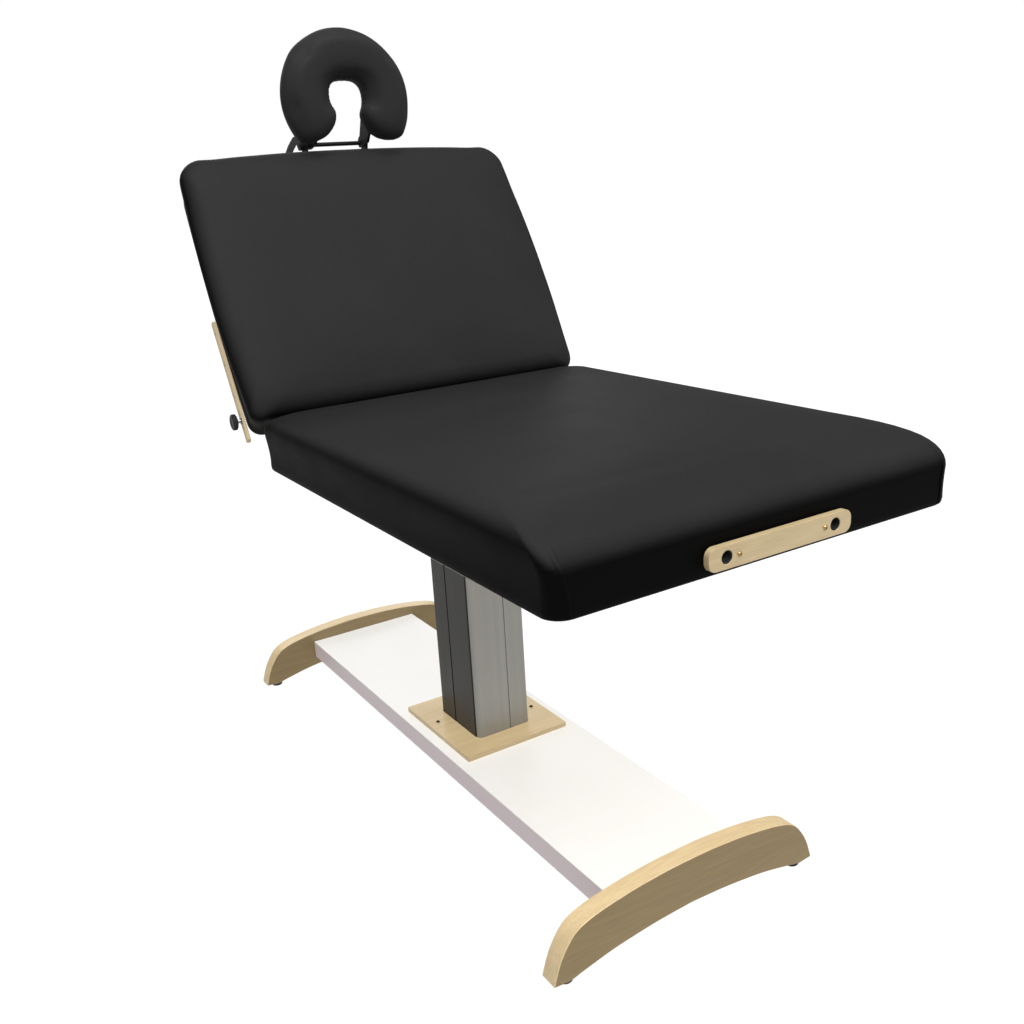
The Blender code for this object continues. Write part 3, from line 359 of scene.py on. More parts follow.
@dataclass(frozen=True)
class Finish:
    """One finish: its colours and its gloss."""

    name: str  # name of the material
    slot: str  # slot of the record that the finish belongs to
    surface: Surface  # kind of surface
    colour: Colour  # main colour
    second: Colour  # colour of grain, pits or worn edges; on the drawn aluminium it also paints shade lines along the grooves
    rough: Pair  # lowest and highest roughness
    metallic: float = 0.0  # share of metal in the surface
    specular: float = 0.5  # level of the clear reflection
    coat: float = 0.0  # weight of a clear coat
    coat_rough: float = 0.22  # roughness of that coat
    scale: float = 1.0  # size of the grain, in repeats per metre or as a factor
    turn: Point = (0.0, 0.0, 0.0)  # turn of the grain, in degrees about X, Y and Z
    depth: float = 0.2  # strength of the relief
    relief: float = 0.0006  # height of the relief

    def material(self, effects: Effects) -> Material:
        """Builds the material.

        Args:
            effects: The shared node groups.

        Returns:
            The finished material.
        """
        mat = bpy.data.materials.new(self.name)
        graph = MaterialGraph(emptied(mat), effects, self.turn)
        makers = {
            Surface.VINYL: self._vinyl, Surface.TIMBER: self._timber, Surface.LAMINATE: self._laminate,
            Surface.DRAWN_METAL: self._drawn_metal, Surface.COATED: self._coated,
        }
        colour, rough, height = makers[self.surface](graph)
        sockets = {"Strength": self.depth, "Distance": self.relief, "Height": height}
        shader = graph.out("ShaderNodeBsdfPrincipled", {
            "Base Color": colour, "Roughness": rough, "Normal": graph.out("ShaderNodeBump", sockets),
            "Metallic": self.metallic, "Specular IOR Level": self.specular,
            "Coat Weight": self.coat, "Coat Roughness": self.coat_rough,
        })
        graph.add("ShaderNodeOutputMaterial", {0: shader})
        return mat

    def _gloss(self, graph: Graph, mask: Socket, low: float = 0.0, high: float = 1.0) -> Socket:
        """Spreads a mask over the finish's range of roughness."""
        return graph.spread(mask, low, high, *self.rough)

    def _vinyl(self, graph: MaterialGraph) -> Layers:
        """Smooth upholstery vinyl with a fine pebble, faint broad patches and painted shade on its side panels and
        along the hinge crease.

        Args:
            graph: Graph of the material.

        Returns:
            Colour, roughness and height.
        """
        skin = graph.group(graph.effects.skin, Scale=self.scale)
        patch = graph.group(graph.effects.mottle, Scale=5.0, Low=0.0, High=1.0)
        base = graph.blend(patch["Value"], rgba(self.colour), rgba(self.second))
        shade = graph.blend(graph.times(skin["Pits"], 0.25), base, rgba(self.colour))
        # Painted shade: side panels and the hinge crease go down to a tenth of the colour.
        return graph.paint_shade_on(shade, (0.10, 0.10, 0.10)), self._gloss(graph, patch["Mask"]), skin["Height"]

    def _timber(self, graph: MaterialGraph) -> Layers:
        """Lacquered timber with darker rubbed edges and painted shade on its marked faces.

        Args:
            graph: Graph of the material.

        Returns:
            Colour, roughness and height.
        """
        tints = {"Pale": rgba(self.colour), "Deep": rgba(self.second)}
        grain = graph.group(graph.effects.timber, Scale=self.scale, Figure=0.55, **tints)
        wear = graph.group(graph.effects.wear, Scale=45.0, Amount=0.35)
        rubbed = graph.blend(wear[0], grain["Colour"], rgba(self.second))
        # Painted shade: the foot's marked faces go down to about a third of the colour.
        return graph.paint_shade_on(rubbed, (0.37, 0.345, 0.27)), self._gloss(graph, grain["Gloss"]), grain["Height"]

    def _laminate(self, graph: MaterialGraph) -> Layers:
        """Smooth laminate with a very fine texture, faint scuffs, greyer edges and a faint lilac painted shade on its
        marked sides.

        Args:
            graph: Graph of the material.

        Returns:
            Colour, roughness and height.
        """
        skin = graph.group(graph.effects.skin, Scale=self.scale)
        patch = graph.group(graph.effects.mottle, Scale=3.5, Low=0.0, High=0.55)
        wear = graph.group(graph.effects.wear, Scale=30.0, Amount=0.5)
        toned = graph.blend(patch["Value"], rgba(self.colour), rgba(self.colour, 0.965))
        # Painted shade: the board's marked sides get a faint lilac darkening.
        colour = graph.blend(wear[0], graph.paint_shade_on(toned, (0.98, 0.86, 0.92)), rgba(self.second))
        return colour, self._gloss(graph, patch["Mask"]), skin["Height"]

    def _drawn_metal(self, graph: MaterialGraph) -> Layers:
        """Drawn or turned metal with fine lines and rubbed edges, and painted shade on its marked sides and in its
        grooves.

        Args:
            graph: Graph of the material.

        Returns:
            Colour, roughness and height.
        """
        lines = graph.group(graph.effects.brushed, Scale=self.scale)
        wear = graph.group(graph.effects.wear, Scale=80.0, Amount=0.8)
        mixed = graph.math("MULTIPLY_ADD", lines["Lines"], 0.5, graph.times(lines["Tone"], 0.4))
        base = graph.blend(mixed, rgba(self.colour, 0.80), rgba(self.colour))
        rubbed = graph.blend(wear[0], base, rgba(self.second))
        rough = self._gloss(graph, lines["Lines"], 0.3, 0.7)
        # Painted shade: marked sides go down to about a sixth of the colour, grooves nearly to black.
        return graph.paint_shade_on(rubbed, (0.15, 0.15, 0.158)), rough, lines["Lines"]

    def _coated(self, graph: MaterialGraph) -> Layers:
        """Powder coat or moulded plastic: fine grain, dusty patches and rubbed edges.

        Args:
            graph: Graph of the material.

        Returns:
            Colour, roughness and height.
        """
        skin = graph.group(graph.effects.skin, Scale=self.scale)
        patch = graph.group(graph.effects.mottle, Scale=18.0, Low=0.0, High=0.5)
        wear = graph.group(graph.effects.wear, Scale=110.0, Amount=0.6)
        base = graph.blend(patch["Value"], rgba(self.colour), rgba(self.colour, 1.7))
        colour = graph.blend(wear[0], base, rgba(self.second))
        return colour, self._gloss(graph, patch["Mask"]), skin["Height"]


VINYL = Finish(
    "black_vinyl", "black_vinyl", Surface.VINYL, (0.0240, 0.0240, 0.0244), (0.0275, 0.0275, 0.0279),
    (0.46, 0.52), specular=0.035, scale=850.0, depth=0.10,
)
MAPLE = Finish(
    "maple_across", "maple", Surface.TIMBER, (0.77, 0.605, 0.350), (0.57, 0.41, 0.21),
    (0.30, 0.44), coat=0.25, turn=(0, 0, 90), depth=0.08,
)
ZINC = Finish(
    "zinc_steel", "steel", Surface.DRAWN_METAL, (0.50, 0.50, 0.49), (0.72, 0.72, 0.70),
    (0.22, 0.40), metallic=0.9, scale=900.0, depth=0.06,
)
POWDER = Finish(
    "black_powder_coat", "black_steel", Surface.COATED, (0.011, 0.011, 0.011), (0.030, 0.030, 0.030),
    (0.42, 0.58), specular=0.35, scale=1400.0, depth=0.16,
)
FINISHES: tuple[Finish, ...] = (
    VINYL,
    replace(VINYL, name="cushion_vinyl", colour=(0.0300, 0.0300, 0.0305), second=(0.0340, 0.0340, 0.0345)),
    MAPLE,
    replace(MAPLE, name="maple_upright", turn=(0, -60, 0)),
    replace(MAPLE, name="maple_plate", colour=(0.645, 0.510, 0.295), second=(0.475, 0.345, 0.177)),
    Finish(
        "frame_timber", "frame_timber", Surface.TIMBER, (0.62, 0.45, 0.26), (0.42, 0.28, 0.14),
        (0.55, 0.70), scale=0.8, turn=(0, 0, 90), depth=0.3,
    ),
    Finish(
        "white_laminate", "white_laminate", Surface.LAMINATE, (0.88, 0.88, 0.86), (0.60, 0.57, 0.58),
        (0.30, 0.40), scale=500.0, depth=0.04,
    ),
    # Drawn aluminium: its dark second colour lands on the rubbed edges, and so also paints shade lines along the
    # grooves' edges.
    replace(
        ZINC, name="drawn_aluminium", slot="aluminium", colour=(0.395, 0.395, 0.370),
        second=(0.16, 0.16, 0.155), rough=(0.34, 0.48), metallic=0.25, specular=0.3, scale=700.0,
    ),
    ZINC,
    replace(
        ZINC, name="blackened_steel", colour=(0.022, 0.022, 0.022), second=(0.045, 0.045, 0.045),
        rough=(0.35, 0.50), metallic=0.5,
    ),
    replace(
        ZINC, name="satin_brass", slot="brass", colour=(0.60, 0.42, 0.16), second=(0.80, 0.62, 0.30),
        rough=(0.25, 0.42),
    ),
    POWDER,
    replace(
        POWDER, name="black_moulding", slot="black_plastic", colour=(0.010, 0.010, 0.0105),
        second=(0.024, 0.024, 0.024), rough=(0.40, 0.55), scale=1800.0, depth=0.14,
    ),
)


# ---- mesh tools


def round_edges(bm: BMesh, width: float, steps: int = 2, angle: float = 32.0) -> None:
    """Rounds the sharp edges of a mesh and marks the new faces as worn.

    Args:
        bm: Mesh to change.
        width: Width of the rounding.
        steps: Faces across the rounding.
        angle: Least angle, in degrees, of an edge that is rounded.
    """
    layer = bm.faces.layers.float.get(WORN_EDGE) or bm.faces.layers.float.new(WORN_EDGE)
    least = math.radians(angle)
    edges = [e for e in bm.edges if len(e.link_faces) == 2 and e.calc_face_angle(0.0) > least]
    if not edges:
        return
    made = bmesh.ops.bevel(
        bm, geom=edges, offset=width, offset_type="OFFSET", segments=steps, profile=0.5, affect="EDGES",
        clamp_overlap=True,
    )
    for face in made["faces"]:
        face[layer] = 1.0


def even_shading(obj: Object) -> None:
    """Shades the flat faces evenly between rounded edges."""
    obj.modifiers.new("even_shading", "WEIGHTED_NORMAL").keep_sharp = True


WELD, COPLANAR = 2e-5, 0.6
# The first value is the painted shade of groove faces, most of the way to black; the second is how near a flat face
# may lie to a side and not count as a groove.
GROOVE_SHADE, FLUSH = 1.8, 0.0003


def paint_side_shade(obj: Object, axis: int, depth: float = 0.0) -> None:
    """Paints shade on the faces square to an axis, and darker painted shade in the grooves in them.

    Args:
        obj: Object whose mesh takes the painted shade.
        axis: Index of the axis, 0 or 1.
        depth: Depth of the grooves.
    """
    low, high = ([pick(v.co[k] for v in obj.data.vertices) for k in range(2)] for pick in (min, max))
    layer = obj.data.attributes.new(PAINTED_SHADE_ATTRIBUTE, "FLOAT", "FACE")
    shade_values = []
    for face in obj.data.polygons:
        sunk = [min(face.center[k] - low[k], high[k] - face.center[k]) for k in range(2)]
        flat = abs(face.normal[axis]) > 0.9
        groove = sunk[axis] < depth and sunk[1 - axis] > 6 * depth and not (flat and sunk[axis] < FLUSH)
        # Painted shade: 1 on faces square to the axis, deeper in the grooves.
        shade_values.append(GROOVE_SHADE if groove else float(flat))
    layer.data.foreach_set("value", shade_values)


def smooth_line(points: Sequence[Pair], steps: int) -> list[Pair]:
    """Runs a smooth open curve through points.

    Args:
        points: Points to pass through.
        steps: New points for each given span.

    Returns:
        The points of the curve.
    """
    given = np.array(points, float)
    last = len(given) - 1
    made = []
    for i in range(last):
        before, here, there, after = (given[k] for k in (max(i - 1, 0), i, i + 1, min(i + 2, last)))
        for f in (k / steps for k in range(steps)):
            made.append(
                0.5 * (2 * here + (there - before) * f + (2 * before - 5 * here + 4 * there - after) * f * f
                       + (3 * here - before - 3 * there + after) * f**3)
            )
    made.append(given[-1])
    return [(float(p[0]), float(p[1])) for p in made]


@dataclass(frozen=True)
class Place:
    """A local set of axes in the shared frame."""

    origin: Point
    along: Point = X_AXIS
    across: Point = Y_AXIS
    normal: Point = Z_AXIS

    def right_handed(self) -> bool:
        """Whether along, across and normal turn as X, Y and Z do."""
        return Vector(self.along).cross(Vector(self.across)).dot(Vector(self.normal)) > 0

    def at(self, u: float, v: float, n: float) -> Vector:
        """Turns local lengths into a point of the shared frame."""
        return Vector(self.origin) + u * Vector(self.along) + v * Vector(self.across) + n * Vector(self.normal)


FACING_FOOT = Place((0, 0, 0), Y_AXIS, Z_AXIS, X_AXIS)


def circle(sides: int) -> list[Pair]:
    """Cosine and sine of evenly spaced turns."""
    turns = (2 * math.pi * k / sides for k in range(sides))
    return [(math.cos(a), math.sin(a)) for a in turns]


def loft(bm: BMesh, rings: list[list], caps: Sequence[int] = (), closed: bool = False) -> None:
    """Joins rings of points by faces.

    Args:
        bm: Mesh that takes the faces.
        rings: Rings of points; a ring of one point is a tip.
        caps: Order, 1 or -1, of the points in the faces that close the first and the last ring.
        closed: Whether the last ring is joined to the first.
    """
    for low, high in zip(rings, rings[1:] + rings[: int(closed)]):
        for k in range(max(len(low), len(high))):
            a, b = (ring[k % len(ring)] for ring in (low, high))
            c, d = (ring[(k + 1) % len(ring)] for ring in (low, high))
            bm.faces.new(list(dict.fromkeys((a, c, d, b))))
    for ring, order in zip((rings[0], rings[-1]), caps):
        if len(ring) > 1:
            bm.faces.new(ring[::order])


def lathe(bm: BMesh, place: Place, profile: Sequence[Pair], sides: int, closed: bool = False) -> None:
    """Turns a profile about the place's normal.

    Args:
        bm: Mesh that takes the faces.
        place: Centre and axes of the turning.
        profile: Radius and height of each point; a first or last radius of 0 closes the end.
        sides: Faces around the axis.
        closed: Whether the profile joins its own ends.
    """
    rings = []
    for radius, height in profile:
        turns = circle(sides) if radius else [(0, 0)]
        rings.append([bm.verts.new(place.at(radius * c, radius * s, height)) for c, s in turns])
    loft(bm, rings, () if closed else (1, 1), closed)


def prism(bm: BMesh, outline: Sequence[Pair], place: Place, low: float, high: float) -> None:
    """Extrudes an outline along the place's normal.

    Args:
        bm: Mesh that takes the faces.
        outline: Points along and across.
        place: Axes of the outline.
        low: Start along the normal.
        high: End along the normal.
    """
    loft(bm, [[bm.verts.new(place.at(u, v, n)) for u, v in outline] for n in (low, high)], (-1, 1))


def rod(bm: BMesh, path: Sequence[Vector], radius: float, sides: int) -> None:
    """Sweeps a round section along a path that runs across the table, with closed ends.

    Args:
        bm: Mesh that takes the faces.
        path: Points of the path.
        radius: Radius of the section.
        sides: Faces around the section.
    """
    way = (path[-1] - path[0]).normalized()
    side = way.cross(Vector(Z_AXIS)).normalized()
    up = side.cross(way)
    rings = [[bm.verts.new(point + radius * (c * side + s * up)) for c, s in circle(sides)] for point in path]
    loft(bm, rings, (-1, 1))


def centre(node: str) -> Point:
    """Middle of a solid's box."""
    low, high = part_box(node)
    return tuple((a + b) / 2 for a, b in zip(low, high))


def middle_spots(nodes: Iterable[str], facing: Point, heading: Point, sink: float = 0.0) -> list[Spot]:
    """Places fittings at the middles of solids.

    Args:
        nodes: Names of the solids.
        facing: Direction that the fittings face.
        heading: Direction of their own X.
        sink: How far they are set back.

    Returns:
        Point, facing and heading of each.
    """
    return [
        (Vector([c - sink * f for c, f in zip(centre(node), facing)]), Vector(facing), Vector(heading))
        for node in nodes
    ]


def under_spots(node: str, inset: float, drop: float) -> list[Spot]:
    """Places fittings under the four corners of a solid.

    Args:
        node: Name of the solid.
        inset: Distance from its sides.
        drop: Distance under it.

    Returns:
        Point, facing and heading of each.
    """
    low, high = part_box(node)
    xs, ys = ((low[k] + inset, high[k] - inset) for k in range(2))
    return [(Vector((x, y, low[2] - drop)), Vector(DOWN), Vector(X_AXIS)) for x in xs for y in ys]


# ---- workshop


@dataclass
class Workshop:
    """The loaded frame, the materials, and the making of pieces."""

    frame: dict  # the loaded frame
    materials: dict[str, Material] = field(default_factory=dict)  # material of each finish, by the finish's name
    slots: dict[str, str] = field(default_factory=dict)  # slot of each finish, by the finish's name

    def prepare(self) -> None:
        """Builds all the finishes."""
        effects = Effects()
        for finish in FINISHES:
            self.materials[finish.name] = finish.material(effects)
            self.slots[finish.name] = finish.slot

    def piece(
        self, name: str, bm: BMesh, body: str, finish: str, nodes: Iterable[str] = (),
        crease: float = 38.0, outward: bool = True,
    ) -> Object:
        """Turns an editable mesh into a piece that moves with a body.

        Args:
            name: Name of the piece.
            bm: Mesh in the shared frame.
            body: Body that carries the piece.
            finish: Name of the finish.
            nodes: Solids that the piece stands for.
            crease: Angle, in degrees, from which an edge stays sharp.
            outward: Whether the faces are turned outwards.

        Returns:
            The piece.
        """
        if outward:
            bmesh.ops.recalc_face_normals(bm, faces=bm.faces)
        sharp = math.radians(crease)
        for face in bm.faces:
            face.smooth = True
        for edge in bm.edges:
            edge.smooth = len(edge.link_faces) == 2 and edge.calc_face_angle(0.0) < sharp
        mesh = bpy.data.meshes.new(name)
        bm.to_mesh(mesh)
        bm.free()
        return self.carry(new_object(name, mesh), body, finish, nodes)

    def carry(self, obj: Object, body: str, finish: str, nodes: Iterable[str] = ()) -> Object:
        """Gives an object its finish and hangs it on a body.

        Args:
            obj: The object.
            body: Body that carries it.
            finish: Name of the finish.
            nodes: Solids that it stands for.

        Returns:
            The same object.
        """
        obj.data.materials.clear()
        obj.data.materials.append(self.materials[finish])
        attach(obj, body)
        if nodes:
            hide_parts(*nodes)
        LOG.info("%s on %s in %s, %d faces", obj.name, body, finish, len(obj.data.polygons))
        return obj

    def eased(self, node: str, body: str, finish: str, width: float, steps: int = 2) -> Object:
        """Stands a copy with rounded edges in for a rigid solid.

        Args:
            node: Name of the solid.
            body: Body that carries it.
            finish: Name of the finish.
            width: Width of the rounding.
            steps: Faces across the rounding.

        Returns:
            The piece.
        """
        bm = bmesh.new()
        bm.from_mesh(self.frame["nodes"][node].data)
        bmesh.ops.remove_doubles(bm, verts=bm.verts, dist=WELD)
        bmesh.ops.dissolve_limit(bm, angle_limit=math.radians(COPLANAR), verts=bm.verts, edges=bm.edges)
        round_edges(bm, width, steps)
        obj = self.piece(node + "_eased", bm, body, finish, (node,), outward=False)
        even_shading(obj)
        return obj

    def coat(self, node: str, finish: str) -> None:
        """Gives a solid that stays as it is its finish.

        Args:
            node: Name of the solid.
            finish: Name of the finish.
        """
        mesh = self.frame["nodes"][node].data
        mesh.materials.clear()
        mesh.materials.append(self.materials[finish])
        LOG.info("%s stays, in %s", node, finish)


# ---- repeated fittings


class Fitting(Enum):
    """Small fittings that repeat."""

    CROSS_SCREW = "cross_screw"
    STAPLE = "staple"
    STITCH = "stitch"
    RIB = "rib"


@dataclass(frozen=True)
class FittingSize:
    """Sizes of a fitting."""

    size: float  # size across
    length: float  # length or height
    spread: float = 0.0  # largest chance turn about the facing, in radians


TURN_SEED = 7
COVER_SCREW = FittingSize(0.0046, 0.0020, 0.6)
OUTLET_SCREW = FittingSize(0.0040, 0.0022, 0.7)
BOX_SCREW = FittingSize(0.0034, 0.0016, 1.5)
FRAME_SCREW = FittingSize(0.0032, 0.0016, 1.5)
PLATE_SCREW = FittingSize(0.0060, 0.0030, 1.5)
HEM_STAPLE = FittingSize(0.0008, 0.0105, 0.16)
SEAM_STITCH = FittingSize(0.0006, 0.0036, 0.10)
GRIP_RIB = FittingSize(0.0011, 0.0074)


class FittingTree:
    """Geometry node tree that sets one kind of fitting on points that carry a facing and a heading."""

    def __init__(self, kind: Fitting, finish: str, shop: Workshop) -> None:
        """Builds the tree with named inputs for its sizes.

        Args:
            kind: What is set on each point.
            finish: Name of the fittings' finish.
            shop: The workshop.
        """
        self.finish, self.shop = finish, shop
        self.tree = bpy.data.node_groups.new("set_" + kind.value, "GeometryNodeTree")
        face = self.tree.interface
        face.new_socket("Geometry", in_out="INPUT", socket_type=GEOMETRY)
        self.identifiers = [
            face.new_socket(label, in_out="INPUT", socket_type=FLOAT).identifier
            for label in ("Size", "Length", "Turn Spread")
        ]
        face.new_socket("Geometry", in_out="OUTPUT", socket_type=GEOMETRY)
        graph = Graph(self.tree)
        given = graph.add("NodeGroupInput").outputs
        makers = {
            Fitting.CROSS_SCREW: self._screw, Fitting.STAPLE: self._staple,
            Fitting.STITCH: self._stitch, Fitting.RIB: self._rib,
        }
        shape = makers[kind](graph, given["Size"], given["Length"])
        facing, heading = (
            graph.out("GeometryNodeInputNamedAttribute", {"Name": name}, data_type="FLOAT_VECTOR")
            for name in ("facing", "heading")
        )
        align = "FunctionNodeAlignRotationToVector"
        up = graph.out(align, {"Vector": facing}, axis="Z")
        laid = graph.out(align, {"Rotation": up, "Vector": heading}, axis="X", pivot_axis="Z")
        spread = given["Turn Spread"]
        limits = {2: graph.times(spread, -1.0), 3: spread, "Seed": TURN_SEED}
        chance = graph.add("FunctionNodeRandomValue", limits, data_type="FLOAT").outputs[1]
        about = graph.out("FunctionNodeAxisAngleToRotation", {"Axis": Z_AXIS, "Angle": chance})
        sockets = {"Rotation": laid, "Rotate By": about}
        turned = graph.out("FunctionNodeRotateRotation", sockets, rotation_space="LOCAL")
        points = graph.out("GeometryNodeMeshToPoints", {"Mesh": given["Geometry"]})
        sockets = {"Points": points, "Instance": shape, "Rotation": turned}
        real = graph.out("GeometryNodeRealizeInstances", {0: graph.out("GeometryNodeInstanceOnPoints", sockets)})
        sockets = {"Geometry": real, "Material": shop.materials[finish]}
        graph.add("NodeGroupOutput", {0: graph.out("GeometryNodeSetMaterial", sockets)})

    @staticmethod
    def _block(graph: Graph, size: Sequence[Any], shift: Sequence[Any]) -> Socket:
        """Adds a block of a size, moved by a shift."""
        block = graph.out("GeometryNodeMeshCube", {"Size": graph.triple(*size)})
        return graph.out("GeometryNodeTransform", {"Geometry": block, "Translation": graph.triple(*shift)})

    def _screw(self, graph: Graph, size: Socket, tall: Socket) -> Socket:
        """Domed head with a crossed recess.

        Args:
            graph: Graph of the tree.
            size: Radius of the head.
            tall: Its height.

        Returns:
            The fitting.
        """
        radii = {"Radius Top": graph.times(size, 0.72), "Radius Bottom": size}
        rim = graph.out("GeometryNodeMeshCone", {"Vertices": 20, "Depth": tall, **radii})
        long, thin, deep = graph.times(size, 1.15), graph.times(size, 0.24), graph.times(tall, 1.2)
        bars = [self._block(graph, (*flat, deep), (0.0, 0.0, tall)) for flat in ((long, thin), (thin, long))]
        cross = graph.out("GeometryNodeMeshBoolean", {1: bars}, operation="UNION", solver="EXACT")
        return graph.out("GeometryNodeMeshBoolean", {0: rim, 1: cross}, operation="DIFFERENCE", solver="EXACT")

    def _staple(self, graph: Graph, size: Socket, wide: Socket) -> Socket:
        """Flat crown of wire with two bent legs.

        Args:
            graph: Graph of the tree.
            size: Thickness of the wire.
            wide: Width of the crown.

        Returns:
            The fitting.
        """
        bar = self._block(graph, (wide, size, graph.times(size, 0.6)), (0.0, 0.0, 0.0))
        half, down = graph.times(wide, 0.5), graph.times(size, -0.7)
        leg = (size, size, graph.times(size, 2.0))
        legs = [self._block(graph, leg, (out, 0.0, down)) for out in (half, graph.times(half, -1.0))]
        return graph.out("GeometryNodeJoinGeometry", {0: [bar, *legs]})

    def _stitch(self, graph: Graph, size: Socket, long: Socket) -> Socket:
        """Short plump thread of a radius and a length."""
        ball = graph.out("GeometryNodeMeshUVSphere", {"Segments": 8, "Rings": 5, "Radius": 1.0})
        scale = graph.triple(graph.times(long, 0.5), size, size)
        return graph.out("GeometryNodeTransform", {"Geometry": ball, "Scale": scale})

    def _rib(self, graph: Graph, size: Socket, tall: Socket) -> Socket:
        """Half round grip rib of a radius and a height."""
        return graph.out("GeometryNodeMeshCylinder", {"Vertices": 10, "Radius": size, "Depth": tall})

    def set_on(
        self, name: str, spots: Sequence[Spot], fit: FittingSize, body: str, nodes: Iterable[str] = ()
    ) -> None:
        """Runs the tree on a list of places and keeps the result as a plain mesh on a body.

        Args:
            name: Name of the piece.
            spots: Point, facing and heading of each fitting.
            fit: Sizes of the fitting.
            body: Body that carries the piece.
            nodes: Solids that it stands for.
        """
        mesh = bpy.data.meshes.new(name)
        mesh.from_pydata([spot[0] for spot in spots], [], [])
        for label, index in (("facing", 1), ("heading", 2)):
            layer = mesh.attributes.new(label, "FLOAT_VECTOR", "POINT")
            layer.data.foreach_set("vector", [c for spot in spots for c in spot[index]])
        obj = new_object(name, mesh)
        modifier = obj.modifiers.new("fittings", "NODES")
        modifier.node_group = self.tree
        for identifier, value in zip(self.identifiers, (fit.size, fit.length, fit.spread)):
            modifier[identifier] = value
        graph = bpy.context.evaluated_depsgraph_get()
        plain = bpy.data.meshes.new_from_object(obj.evaluated_get(graph))
        obj.modifiers.clear()
        obj.data = plain
        plain.name = name
        self.shop.carry(obj, body, self.finish, nodes)


# ---- upholstery


